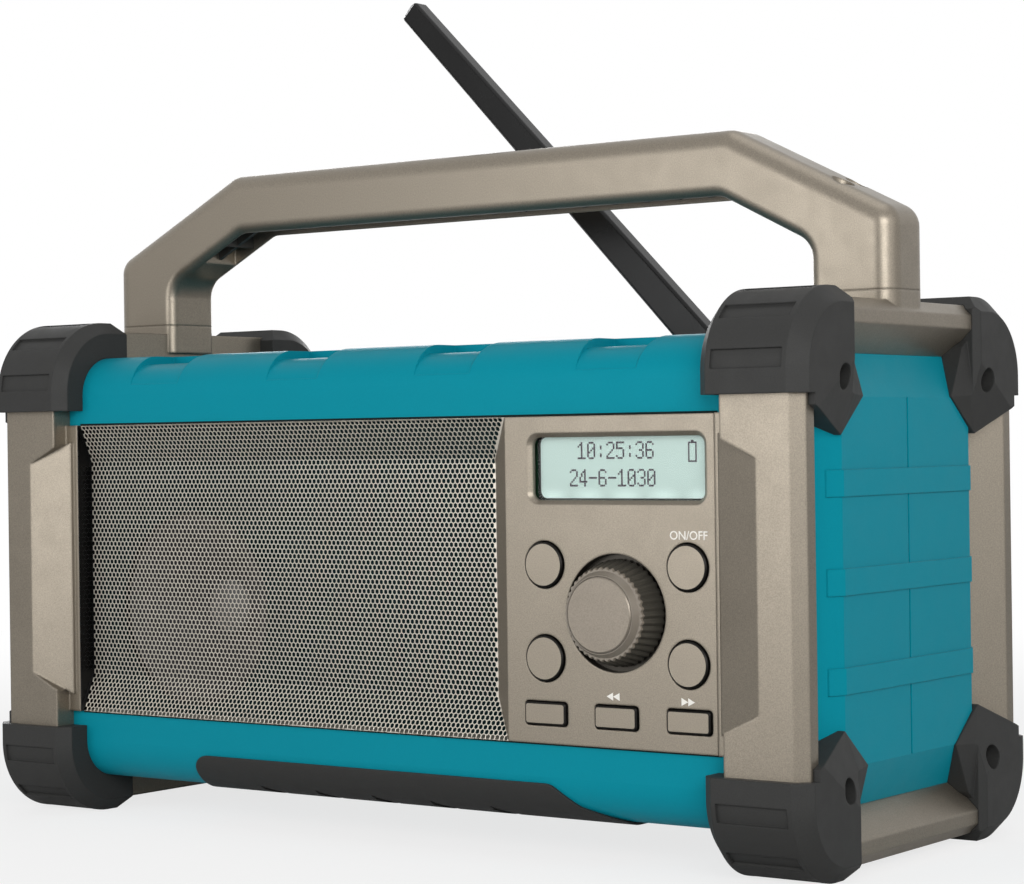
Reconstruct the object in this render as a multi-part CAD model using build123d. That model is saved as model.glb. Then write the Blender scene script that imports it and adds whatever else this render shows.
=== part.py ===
from build123d import *
import math
import os

os.makedirs("parts", exist_ok=True)

# Jobsite radio: a rounded casing held between two roll-cage end frames with rubber corner bumpers.
# Millimetres. +X is the radio's right, -Y its front, +Z up.
# Every piece is modelled about the centre of the casing and lifted by `mid_height` when it is written,
# so the bumpers stand on Z = 0.

# ---------------------------------------------------------------- driving sizes
running_fit = 0.05          # radial clearance of a pin or shaft in its bore
loose_fit = 0.15            # gap of a fixed insert in its opening
moving_gap = 0.3            # gap between a moving piece and its neighbour
cut_over = 1.0              # how far a cutting block runs past the face that it cuts
cut_reach = 10.0            # how far the grille's dish is cleared in front of the panel
tolerance = 0.01            # how exactly an edge has to lie at a place to be picked

body_half_length = 131.5
body_half_depth = 59.5
body_half_height = 71.25
body_corner_radius = 13.0
shell_wall = 2.5
seam_y = 17.0               # where the front and rear shells meet

frame_width = 25.8          # end frame, measured along X
frame_stand_out_depth = 7.6   # end frame beyond the casing, front and rear
frame_stand_out_height = 9.45  # end frame beyond the casing, above and below
frame_member_depth = 15.8
frame_member_height = 15.7
frame_outer_bevel = 3.3
frame_inner_slope = 8.3
frame_corner_radius = 21.0

facet_outer_inset = 14.3    # from the end frame's outer face to the facet's outer edge
facet_outer_height_inset = 45.3   # from the end frame's top to the facet's outer edge
facet_inner_height_inset = 38.2
facet_reach = 3.4           # how far the facet's lip covers the flange
facet_inner_depth = 4.5     # depth of the facet at the tip of its lip
flange_width = 5.2          # strip of the front posts that laps over the casing
flange_thickness = 1.8

cap_set_back = 2.4          # end cap's flat face behind the end frame's outer face
cap_band_width_depth = 11.5
cap_band_width_height = 12.7
cap_wall = 3.0
cap_flange_thickness = 2.5
cap_flange_lap = 5.0
cap_rib_pitch = 27.9
cap_rib_width = 7.6
cap_rib_end_inset = 6.3     # from the end frame's inner side to the band's end
cap_rib_height = 0.6
cap_groove_width = 0.9
cap_groove_depth = 0.7

bumper_radius = 24.0
bumper_front_wall = 3.3     # rubber in front of the end frame
bumper_top_wall = 2.8       # rubber above the end frame
bumper_side_wall = 2.3      # rubber outside the end frame
bumper_inner_lap = 6.3      # rubber inboard of the end frame
bumper_rim_bevel = 3.8
bumper_side_bevel = 4.8
bumper_leg_drop = 6.3       # leg end below the bumper's centre
bumper_arm_reach = 8.4      # arm end inboard of the bumper's centre
bumper_end_bevel = 4.0
bumper_arm_corner_bevel = 2.0
bumper_band_depth = 0.8
bumper_band_centres = (8.5, 45.0, 81.5)   # degrees round the bumper
bumper_band_spread = 13.0
bumper_band_margin = 1.5

gusset_tip_inboard = 4.4    # gusset's corners, from the bumper's centre
gusset_tip_drop = 18.0
gusset_inner_inboard = 18.7
gusset_inner_drop = 6.9
gusset_notch_inboard = 10.8
gusset_notch_rise = 8.3
gusset_crease_inboard = 9.9
gusset_crease_drop = 6.5
gusset_post_outboard = 16.3
gusset_post_drop = 9.6
gusset_arm_lap = 2.0
gusset_tip_below_side = 3.7
gusset_rise_to_post = 0.123   # rise of the gusset's face for each millimetre towards the post
gusset_rise_to_bar = 0.183    # and for each millimetre towards the bar
gusset_edge_below_side = 4.2
gusset_hole_inboard = 1.3
gusset_hole_drop = 1.7
gusset_hole_radius = 3.75
gusset_screw_depth = 6.0

opening_half_height = 48.3
opening_ledge_lap = 5.0
opening_ledge_depth = 5.5   # from the casing's front face to the ledge
opening_ledge_thickness = 2.5

panel_length = 73.1
panel_thickness = 2.5
panel_side_wall = 1.2
panel_slope_length = 7.2
panel_slope_depth = 5.0

display_length = 59.7
display_height = 18.5
display_right_inset = 4.1   # from the panel's right edge
display_top_inset = 6.3     # from the panel's top edge
display_corner_radius = 2.4
display_lip = 1.3
window_thickness = 1.5
window_lap = 1.3

board_gap = 7.8             # from the panel's rear face to the control board
board_thickness = 1.6
board_margin = 1.0
board_boss_radius = 2.5
board_boss_height = 12.0
board_boss_low_height = -40.3

control_column_pitch = 24.85
control_centre_inset = 34.25  # knob axis from the panel's right edge
knob_axis_height = -9.1
knob_radius = 14.0
knob_length = 10.0
knob_groove_count = 60
knob_groove_depth = 0.7
knob_front_bevel = 1.2
knob_travel = 0.5
knob_floor_gap = 1.0
knob_well_radius = 17.2
knob_well_depth = 3.0
knob_well_floor = 1.5
knob_cap_radius = 11.0
knob_cap_thickness = 1.9
knob_cap_proud = 0.9

shaft_radius = 3.0
encoder_half_width = 6.0
encoder_length = 5.5
encoder_nose_radius = 4.5
encoder_nose_length = 1.5
encoder_front_wall = 1.5
encoder_rear_wall = 0.6
encoder_chamber_radius = 4.2
plunger_radius = 3.5
plunger_thickness = 1.0

button_travel = 0.8
button_proud = 1.0
button_hole_clearance = 0.4
button_lip = 1.0
button_lip_thickness = 1.2
button_stem_radius = 2.0
button_edge_bevel = 0.4
round_button_radius = 6.7
round_button_heights = (4.55, -23.0)
bar_button_length = 14.6
bar_button_height = 6.6
bar_button_centre_height = -39.25
bar_button_corner_radius = 0.9
switch_half_width = 3.0
switch_body_height = 2.0
switch_nub_radius = 1.6
switch_nub_height = 0.6

grille_depth = 5.0
grille_thickness = 1.0
grille_slope_height = 12.3
grille_side_length = 0.8

speaker_inset = 46.3        # from the opening's left edge
speaker_height = -13.0
speaker_hole_radius = 32.0
speaker_flange_radius = 37.4
speaker_flange_thickness = 1.5
baffle_thickness = 2.5
cone_outer_radius = 27.5
cone_inner_radius = 9.0
cone_depth = 15.0
cone_thickness = 0.8
surround_height = 2.0
basket_throat_radius = 17.0
basket_wall = 1.2
basket_depth = 20.0
basket_plate = 2.0
magnet_radius = 24.0
magnet_length = 12.0
dust_cap_rise = 2.6
dust_cap_thickness = 0.8
speaker_screw_circle = 35.1
speaker_screw_radius = 1.1
speaker_screw_head_radius = 1.7
speaker_screw_count = 4
speaker_screw_blind_wall = 0.5
speaker_screw_end_gap = 0.3
coil_gap = 1.0
coil_end_gap = 1.0

screw_boss_radius = 4.0
screw_boss_top_inset = 17.25
screw_boss_end_inset = 19.5
screw_shank_radius = 1.5
screw_head_radius = 3.0
screw_head_length = 2.4
screw_web = 6.0
screw_length = 14.0

pocket_pitch = 60.2
pocket_first_x = -103.0
pocket_count = 4
pocket_front_length = 20.0
pocket_back_length = 28.0
pocket_depth = 2.8
pocket_back_inset = 21.5    # from the casing's front face
pocket_front_drop = 9.6     # from the casing's top
pocket_backing = 2.5

pad_thickness = 0.9
pad_left_x = -76.0
pad_top_rise = 11.05        # from the casing's underside
pad_top_right_x = 67.0
pad_shoulder_x = 76.0
pad_shoulder_rise = 4.55
pad_right_x = 90.0
pad_back_inset = 29.5       # from the casing's front face
pad_corner_radius = 6.0
pad_slot_first_x = -51.1
pad_slot_pitch = 23.1
pad_slot_count = 5
pad_slot_length = 7.5
pad_slot_width = 1.6
pad_slot_rise = 2.25
pad_slot_drop = 2.5

handle_half_width = 11.2
handle_foot_rise = 3.1      # from the end frame's top
handle_end_inset = 1.0      # from the end frame's outer face
handle_leg_width = 27.3
handle_shoulder_rise = 23.4   # from the handle's foot
handle_top_rise = 27.5      # from its shoulder
handle_slope_run = 55.3
handle_inner_shoulder_rise = 14.8
handle_inner_top_rise = 16.1
handle_inner_slope_run = 31.5
handle_outer_corner_radius = 7.0
handle_inner_corner_radius = 8.0
handle_outer_edge_radius = 6.0
handle_inner_edge_radius = 3.4
handle_wall = 3.2
handle_cavity_inset = 40.3
handle_rib_pitch = 12.0
handle_rib_thickness = 1.6
handle_spine_thickness = 2.0
handle_rib_set_back = 1.5
handle_screw_inset = 19.3
handle_screw_spacing = 8.4
handle_recess_radius = 3.4
handle_recess_rise = 19.2   # screw recess floor above the handle's foot
handle_boss_drop = 6.7      # boss below the end frame's top

antenna_pivot_x = 61.3
antenna_inset = 14.5        # from the casing's rear face
antenna_pivot_drop = 2.75   # from the casing's top
antenna_length = 178.7
antenna_base_width = 11.5
antenna_tip_width = 8.0
antenna_thickness = 7.0
antenna_edge_bevel = 0.9
antenna_tip_bevel = 2.6
antenna_tilt = 44.4         # degrees from upright towards the radio's left, as it stands
antenna_pin_radius = 1.5
antenna_floor_gap = 0.75
antenna_groove_side_gap = 3.0
antenna_groove_end_gap = 1.8
antenna_groove_wall = 2.5
bracket_cheek = 2.4
bracket_web = 1.2
bracket_height_above_pivot = 5.5

bay_half_length = 45.0
bay_bottom_height = -45.0
bay_top_height = 15.0
bay_depth = 32.0
bay_wall = 2.0
door_thickness = 2.5
door_pin_radius = 0.8
door_barrel_radius = 1.5
battery_margin = 4.0
battery_thickness = 22.0

port_left_x = 66.0
port_length = 30.0
port_bottom_height = -40.0
port_height = 22.0
port_depth = 12.0
port_wall = 2.0
aux_hole_radius = 1.8
aux_collar_radius = 3.5
dc_hole_radius = 3.0
dc_collar_radius = 4.6
socket_body_length = 11.0
socket_body_half_width = 4.8
socket_collar_proud = 1.0
socket_back_wall = 2.0
dc_socket_end_inset = 17.5  # from the casing's right end

main_board_left_x = -40.0
main_board_length = 80.0
main_board_height = 24.0
main_board_bottom_height = 21.0
main_board_standoff = 8.0
main_board_boss_radius = 3.0

# ---------------------------------------------------------------- places that follow from them
frame_half_depth = body_half_depth + frame_stand_out_depth
frame_half_height = body_half_height + frame_stand_out_height
frame_outer_x = body_half_length + frame_width
bumper_centre_depth = frame_half_depth + bumper_front_wall - bumper_radius
bumper_centre_height = frame_half_height + bumper_top_wall - bumper_radius
mid_height = bumper_centre_height + bumper_radius
ring_half_depth = frame_half_depth - frame_member_depth
ring_half_height = frame_half_height - frame_member_height
cap_face_x = frame_outer_x - cap_set_back
cap_edge_x = frame_outer_x - frame_inner_slope
bumper_side_x = frame_outer_x + bumper_side_wall
bumper_inner_x = body_half_length - bumper_inner_lap
bumper_arm_y = bumper_centre_depth - bumper_arm_reach
bumper_leg_z = bumper_centre_height - bumper_leg_drop
facet_outer_half_height = frame_half_height - facet_outer_height_inset
facet_inner_half_height = frame_half_height - facet_inner_height_inset
cap_rib_half_length = ring_half_depth - cap_rib_end_inset

handle_foot_height = frame_half_height + handle_foot_rise
handle_half_length = frame_outer_x - handle_end_inset
handle_shoulder_height = handle_foot_height + handle_shoulder_rise
handle_top_height = handle_shoulder_height + handle_top_rise
handle_top_half_length = handle_half_length - handle_slope_run
handle_inner_half_length = handle_half_length - handle_leg_width
handle_inner_shoulder_height = handle_foot_height + handle_inner_shoulder_rise
handle_inner_top_height = handle_inner_shoulder_height + handle_inner_top_rise
handle_inner_top_half_length = handle_inner_half_length - handle_inner_slope_run
handle_cavity_half_length = handle_half_length - handle_cavity_inset
handle_screw_x = handle_half_length - handle_screw_inset
handle_recess_height = handle_foot_height + handle_recess_rise
handle_boss_bottom_height = frame_half_height - handle_boss_drop

front_y = -body_half_depth
opening_half_length = body_half_length - flange_width
panel_front_y = front_y - flange_thickness
panel_rear_y = panel_front_y + panel_thickness
ledge_y = front_y + opening_ledge_depth
ledge_rear_y = ledge_y + opening_ledge_thickness
panel_right = opening_half_length - loose_fit
panel_left = opening_half_length - panel_length
panel_half_height = opening_half_height - loose_fit
mullion_left = panel_left - panel_slope_length
grille_left = -opening_half_length + loose_fit
grille_floor_y = panel_front_y + grille_depth
speaker_x = -opening_half_length + speaker_inset
knob_x = opening_half_length - control_centre_inset
board_front_y = panel_rear_y + board_gap
board_rear_y = board_front_y + board_thickness
well_floor_y = panel_front_y + knob_well_depth
well_rear_y = well_floor_y + knob_well_floor
knob_rear_y = well_floor_y - knob_floor_gap
knob_front_y = knob_rear_y - knob_length
encoder_front_y = board_front_y - encoder_length
chamber_front_y = encoder_front_y + encoder_front_wall
chamber_rear_y = board_front_y - encoder_rear_wall
plunger_rear_y = chamber_rear_y - moving_gap - knob_travel
plunger_front_y = plunger_rear_y - plunger_thickness
shaft_end_y = plunger_front_y - moving_gap
switch_tip_y = board_front_y - switch_body_height - switch_nub_height
button_stem_end_y = switch_tip_y - moving_gap - button_travel
button_lip_front_y = panel_rear_y + moving_gap
button_front_y = panel_front_y - button_proud


# ---------------------------------------------------------------- shapes used throughout
def box(x0, x1, y0, y1, z0, z1):
    """A block between the given limits."""
    return Pos((x0 + x1) / 2, (y0 + y1) / 2, (z0 + z1) / 2) * Box(x1 - x0, y1 - y0, z1 - z0)


def rod_x(y, z, radius, x0, x1):
    """A round rod along X."""
    return Pos((x0 + x1) / 2, y, z) * Rot(0, 90, 0) * Cylinder(radius, x1 - x0)


def rod_y(x, z, radius, y0, y1):
    """A round rod along Y."""
    return Pos(x, (y0 + y1) / 2, z) * Rot(90, 0, 0) * Cylinder(radius, y1 - y0)


def rod_z(x, y, radius, z0, z1):
    """A round rod along Z."""
    return Pos(x, y, (z0 + z1) / 2) * Cylinder(radius, z1 - z0)


def prism_x(points, x0, x1):
    """A polygon of (y, z) points, extruded along X."""
    outline = Wire.make_polygon([(x0, y, z) for y, z in points])
    return Solid.extrude(Face(outline), (x1 - x0, 0, 0))


def prism_y(points, y0, y1):
    """A polygon of (x, z) points, extruded along Y."""
    outline = Wire.make_polygon([(x, y0, z) for x, z in points])
    return Solid.extrude(Face(outline), (0, y1 - y0, 0))


def prism_z(points, z0, z1):
    """A polygon of (x, y) points, extruded along Z."""
    outline = Wire.make_polygon([(x, y, z0) for x, y in points])
    return Solid.extrude(Face(outline), (0, 0, z1 - z0))


def turned_y(x, z, points):
    """A closed (radius, y) outline turned about the line along Y through (x, z)."""
    outline = Wire.make_polygon([(x + radius, y, z) for radius, y in points])
    return Solid.revolve(Face(outline), 360, Axis((x, 0, z), (0, 1, 0)))


def block_past_plane(points, size):
    """A large block on the +X side of the plane through three (x, y, z) points."""
    first, second, third = [Vector(point) for point in points]
    normal = (second - first).cross(third - first)
    if normal.X < 0:
        normal = -normal
    block = Box(size, size, size, align=(Align.CENTER, Align.CENTER, Align.MIN))
    return Plane(origin=first, z_dir=normal) * block


def corner_wedge(edge_a, edge_b, sign_a, sign_b, bevel):
    """Triangle that bevels the corner at (edge_a, edge_b); the signs point out of the piece."""
    reach = bevel + cut_over
    return [
        (edge_a + sign_a * cut_over, edge_b + sign_b * cut_over),
        (edge_a - sign_a * reach, edge_b + sign_b * cut_over),
        (edge_a + sign_a * cut_over, edge_b - sign_b * reach),
    ]


def mirrored(piece, side_x, side_y, side_z):
    """A piece of the right rear top corner, moved to the named corner."""
    if side_x < 0:
        piece = mirror(piece, about=Plane.YZ)
    if side_y < 0:
        piece = mirror(piece, about=Plane.XZ)
    if side_z < 0:
        piece = mirror(piece, about=Plane.XY)
    return piece


def write(name, *solids):
    """Lift a piece, or a group of like pieces, to its place above the floor and write its file."""
    lifted = [Pos(0, 0, mid_height) * solid for solid in solids]
    piece = lifted[0] if len(lifted) == 1 else Compound(lifted)
    export_step(piece, os.path.join("parts", name + ".step"))


# ---------------------------------------------------------------- casing outline
def body_outline(inset, x0, x1):
    """The casing's rounded section, set in by `inset`, between two X places."""
    section = RectangleRounded(
        2 * (body_half_depth - inset),
        2 * (body_half_height - inset),
        body_corner_radius - inset,
    )
    return extrude(Plane.YZ.offset(x0) * section, amount=x1 - x0)


screw_boss_x = body_half_length - screw_boss_end_inset
screw_boss_height = body_half_height - screw_boss_top_inset
body_solid = body_outline(0, -body_half_length, body_half_length)
body_tube = body_solid - body_outline(shell_wall, -body_half_length, body_half_length)
screw_places = [
    (x, side * screw_boss_height)
    for x in (-screw_boss_x, 0.0, screw_boss_x)
    for side in (-1, 1)
]


# ---------------------------------------------------------------- front shell
pocket_back_y = front_y + pocket_back_inset
pocket_front_height = body_half_height - pocket_front_drop


def casing_slice(y0, y1):
    """A block over the whole casing between two Y places."""
    return box(-body_half_length, body_half_length, y0, y1, -body_half_height, body_half_height)


def pocket_block(left, grow):
    """One finger pocket: straight left end, right end slanted in plan."""
    plan = [
        (left - grow, pocket_back_y + grow),
        (left + pocket_back_length + grow, pocket_back_y + grow),
        (left + pocket_front_length + grow, front_y - pocket_depth),
        (left - grow, front_y - pocket_depth),
    ]
    return prism_z(plan, 0, body_half_height + pocket_depth)


def pocket_cutter(left):
    """What one pocket removes: its floor is the casing's round, sunk and level with its front face."""
    right = left + pocket_back_length
    floor = Pos(0, -pocket_depth, 0) * body_outline(pocket_depth, left, right)
    clear_front = front_y - pocket_depth
    clear_top = body_half_height + pocket_depth
    room = box(left, right, clear_front, pocket_back_y, pocket_front_height, clear_top)
    return (pocket_block(left, 0) & room) - floor


def front_shell():
    """Front half of the casing with the opening, its ledge, the speaker baffle and the pockets."""
    front_half = casing_slice(front_y, seam_y)
    shell = body_tube & front_half
    outer_x = opening_half_length + shell_wall
    outer_z = opening_half_height + shell_wall
    surround = box(-outer_x, outer_x, front_y, ledge_rear_y, -outer_z, outer_z)
    opening = box(
        -opening_half_length,
        opening_half_length,
        front_y,
        ledge_y,
        -opening_half_height,
        opening_half_height,
    )
    through_z = opening_half_height - opening_ledge_lap
    through_right = box(
        mullion_left + 2 * opening_ledge_lap,
        opening_half_length - opening_ledge_lap,
        ledge_y,
        ledge_rear_y,
        -through_z,
        through_z,
    )
    shell = shell + surround - opening - through_right
    shell = shell - rod_y(speaker_x, speaker_height, speaker_hole_radius, ledge_y, ledge_rear_y)
    for x, z in screw_places:
        shell = shell + rod_y(x, z, screw_boss_radius, front_y + shell_wall / 2, seam_y)
    for index in range(pocket_count):
        left = pocket_first_x + index * pocket_pitch
        backing = pocket_block(left, shell_wall / 2) & front_half & body_solid
        lowest = body_half_height - pocket_depth - pocket_backing
        backing = backing - box(
            -body_half_length, body_half_length, front_y, seam_y, -body_half_height, lowest
        )
        shell = shell + backing
    for index in range(pocket_count):
        shell = shell - pocket_cutter(pocket_first_x + index * pocket_pitch)
    for x, z in screw_places:
        hole_radius = screw_shank_radius + running_fit
        hole_end_y = seam_y + screw_web - screw_length - cut_over
        shell = shell - rod_y(x, z, hole_radius, hole_end_y, seam_y)
    for x, z in speaker_screw_places():
        hole_radius = speaker_screw_radius + running_fit
        shell = shell - rod_y(x, z, hole_radius, ledge_y + speaker_screw_blind_wall, ledge_rear_y)
    return shell


def speaker_screw_places():
    """Screw places round the speaker's flange."""
    places = []
    for index in range(speaker_screw_count):
        angle = 2 * math.pi * (index + 0.5) / speaker_screw_count
        x = speaker_x + speaker_screw_circle * math.cos(angle)
        z = speaker_height + speaker_screw_circle * math.sin(angle)
        places.append((x, z))
    return places


# ---------------------------------------------------------------- rear shell
antenna_y = body_half_depth - antenna_inset
antenna_pivot_height = body_half_height - antenna_pivot_drop
antenna_groove_left = antenna_pivot_x - antenna_length - antenna_groove_end_gap
antenna_groove_right = antenna_pivot_x + antenna_base_width / 2 + antenna_groove_end_gap
antenna_groove_half_width = antenna_thickness / 2 + antenna_groove_side_gap
antenna_groove_floor = antenna_pivot_height - antenna_base_width / 2 - antenna_floor_gap
bay_floor_y = body_half_depth - bay_depth
hinge_axis_y = body_half_depth - door_barrel_radius
door_axis_height = bay_top_height - moving_gap - door_barrel_radius
port_right = port_left_x + port_length
port_top_height = port_bottom_height + port_height
port_floor_y = body_half_depth - port_depth
port_axis_height = port_top_height - moving_gap - door_barrel_radius
aux_x = port_left_x + port_length / 2
dc_x = body_half_length - dc_socket_end_inset
socket_height = port_bottom_height + port_height / 2
main_board_y = body_half_depth - shell_wall - main_board_standoff
main_board_top_height = main_board_bottom_height + main_board_height


def main_board_boss_places():
    """Corners of the main board, where its bosses stand."""
    inset = 2 * main_board_boss_radius
    places = []
    for x in (main_board_left_x + inset, main_board_left_x + main_board_length - inset):
        for z in (main_board_bottom_height + inset, main_board_top_height - inset):
            places.append((x, z))
    return places


def rear_shell():
    """Rear part of the casing with the aerial's groove, the battery bay and the socket bay."""
    shell = body_tube & casing_slice(seam_y, body_half_depth)
    wall = antenna_groove_wall
    trough = box(
        antenna_groove_left - wall,
        antenna_groove_right + wall,
        antenna_y - antenna_groove_half_width - wall,
        antenna_y + antenna_groove_half_width + wall,
        antenna_groove_floor - wall,
        body_half_height,
    )
    shell = shell + (trough & body_solid)
    shell = shell + box(
        -bay_half_length - bay_wall,
        bay_half_length + bay_wall,
        bay_floor_y - bay_wall,
        body_half_depth,
        bay_bottom_height - bay_wall,
        bay_top_height + bay_wall,
    )
    shell = shell + box(
        port_left_x - port_wall,
        port_right + port_wall,
        port_floor_y - port_wall,
        body_half_depth,
        port_bottom_height - port_wall,
        port_top_height + port_wall,
    )
    for x, z in main_board_boss_places():
        boss_end_y = body_half_depth - shell_wall / 2
        shell = shell + rod_y(x, z, main_board_boss_radius, main_board_y, boss_end_y)
    for x, z in screw_places:
        shell = shell + rod_y(x, z, screw_boss_radius, seam_y, body_half_depth - shell_wall / 2)
    shell = shell - box(
        antenna_groove_left,
        antenna_groove_right,
        antenna_y - antenna_groove_half_width,
        antenna_y + antenna_groove_half_width,
        antenna_groove_floor,
        body_half_height + cut_over,
    )
    shell = shell - box(
        -bay_half_length, bay_half_length, bay_floor_y, body_half_depth, bay_bottom_height, bay_top_height
    )
    shell = shell - box(
        port_left_x, port_right, port_floor_y, body_half_depth, port_bottom_height, port_top_height
    )
    shell = shell - rod_y(aux_x, socket_height, aux_collar_radius, port_floor_y - port_wall, port_floor_y)
    wall_rear_y = body_half_depth - shell_wall
    shell = shell - rod_y(dc_x, socket_height, dc_collar_radius, wall_rear_y, body_half_depth)
    for x, z in screw_places:
        shell = shell - rod_y(x, z, screw_shank_radius + running_fit, seam_y, seam_y + screw_web)
        shell = shell - rod_y(x, z, screw_head_radius + running_fit, seam_y + screw_web, body_half_depth)
    for left, right, axis_height in hinge_spans():
        pin_hole = rod_x(
            hinge_axis_y, axis_height, door_pin_radius + running_fit, left - bay_wall, right + bay_wall
        )
        shell = shell - pin_hole
    return shell


def hinge_spans():
    """Left end, right end and height of the battery door's hinge and the socket cover's hinge."""
    return (
        (-bay_half_length, bay_half_length, door_axis_height),
        (port_left_x, port_right, port_axis_height),
    )


def cover_hinge_pins():
    """Two steel pins, one for the battery door and one for the socket cover."""
    pins = []
    for left, right, axis_height in hinge_spans():
        pins.append(rod_x(hinge_axis_y, axis_height, door_pin_radius, left - bay_wall, right + bay_wall))
    return pins


def hinged_cover(left, right, bottom, axis_height):
    """A flush cover that hangs from a round barrel along its upper edge."""
    plate = box(
        left + moving_gap,
        right - moving_gap,
        body_half_depth - door_thickness,
        body_half_depth,
        bottom + moving_gap,
        axis_height,
    )
    barrel = rod_x(hinge_axis_y, axis_height, door_barrel_radius, left + moving_gap, right - moving_gap)
    bore = rod_x(hinge_axis_y, axis_height, door_pin_radius + running_fit, left, right)
    return plate + barrel - bore


def shell_screws():
    """Six screws that hold the rear shell to the front shell."""
    screws = []
    for x, z in screw_places:
        head_y = seam_y + screw_web
        shank = rod_y(x, z, screw_shank_radius, head_y - screw_length, head_y)
        head = rod_y(x, z, screw_head_radius, head_y, head_y + screw_head_length)
        screws.append(shank + head)
    return screws


# ---------------------------------------------------------------- end frames
def end_frame_ring():
    """The whole right end frame: a rounded ring with a bevelled outside and a sloped inside."""
    outside = RectangleRounded(2 * frame_half_depth, 2 * frame_half_height, frame_corner_radius)
    inside = Rectangle(2 * ring_half_depth, 2 * ring_half_height)
    ring = extrude(Plane.YZ.offset(body_half_length) * (outside - inside), amount=frame_width)
    face = ring.faces().sort_by(Axis.X)[-1]
    ring = chamfer(face.outer_wire().edges(), frame_outer_bevel)
    slope_start = Plane.YZ.offset(frame_outer_x - frame_inner_slope) * inside
    slope_end = Plane.YZ.offset(frame_outer_x) * Rectangle(
        2 * (ring_half_depth + frame_inner_slope), 2 * (ring_half_height + frame_inner_slope)
    )
    return ring - loft([slope_start, slope_end])


frame_ring = end_frame_ring()


def frame_member(inner_a, outer_a, inner_b, outer_b):
    """The stretch of the ring between two mitred corners, given as (y, z) points."""
    corners = [inner_a, outer_a, outer_b, inner_b]
    return frame_ring & prism_x(corners, body_half_length - cut_over, frame_outer_x + cut_over)


def post():
    """Right rear upright of the end frame."""
    return frame_member(
        (ring_half_depth, ring_half_height),
        (frame_half_depth, frame_half_height),
        (ring_half_depth, -ring_half_height),
        (frame_half_depth, -frame_half_height),
    )


def bar():
    """Right top cross bar of the end frame."""
    return frame_member(
        (ring_half_depth, ring_half_height),
        (frame_half_depth, frame_half_height),
        (-ring_half_depth, ring_half_height),
        (-frame_half_depth, frame_half_height),
    )


def front_post():
    """An upright with the flange that laps over the casing and the slanted facet, drawn at the rear."""
    flange = box(
        opening_half_length,
        body_half_length,
        body_half_depth,
        body_half_depth + flange_thickness,
        -opening_half_height,
        opening_half_height,
    )
    facet_outer_x = frame_outer_x - facet_outer_inset
    facet_inner_x = body_half_length - facet_reach
    flange_y = body_half_depth + flange_thickness
    facet_room = prism_y(
        [
            (facet_inner_x, -facet_inner_half_height),
            (facet_outer_x, -facet_outer_half_height),
            (facet_outer_x, facet_outer_half_height),
            (facet_inner_x, facet_inner_half_height),
        ],
        flange_y,
        frame_half_depth + cut_over,
    )
    below_facet = prism_z(
        [
            (facet_inner_x, flange_y),
            (facet_outer_x, flange_y),
            (facet_outer_x, frame_half_depth),
            (facet_inner_x, frame_half_depth - facet_inner_depth),
        ],
        -facet_inner_half_height,
        facet_inner_half_height,
    )
    return post() + flange - facet_room + (facet_room & below_facet)


def handle_foot(z0, z1):
    """The handle leg's section between two heights, with its rounded long edges."""
    foot = box(handle_inner_half_length, handle_half_length, -handle_half_width, handle_half_width, z0, z1)
    upright = foot.edges().filter_by(Axis.Z)
    foot = fillet(upright.sort_by(Axis.X)[-2:], handle_outer_edge_radius)
    upright = foot.edges().filter_by(Axis.Z).sort_by(Axis.X)
    return fillet(upright[:2], handle_inner_edge_radius)


def top_bar():
    """Cross bar with the boss that carries the handle's leg."""
    boss = handle_foot(handle_boss_bottom_height, handle_foot_height)
    bar_piece = bar() + (boss - body_solid)
    for side in (-1, 1):
        y = side * handle_screw_spacing / 2
        hole_radius = screw_shank_radius + running_fit
        hole_bottom = handle_boss_bottom_height - screw_length / 2
        bar_piece = bar_piece - rod_z(handle_screw_x, y, hole_radius, hole_bottom, handle_foot_height)
    return bar_piece


# ---------------------------------------------------------------- end caps
def cap_form(inset, outward):
    """The end cap's filled outer form, set in all round and moved outward along X."""
    half_depth = ring_half_depth - inset
    half_height = ring_half_height - inset
    edge_x = cap_edge_x + outward
    face_x = cap_face_x + outward
    base = box(body_half_length, edge_x, -half_depth, half_depth, -half_height, half_height)
    outer = Plane.YZ.offset(edge_x) * Rectangle(2 * half_depth, 2 * half_height)
    inner = Plane.YZ.offset(face_x) * Rectangle(
        2 * (half_depth - cap_band_width_depth), 2 * (half_height - cap_band_width_height)
    )
    return base + loft([outer, inner])


cap_solid = cap_form(0, 0)


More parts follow.
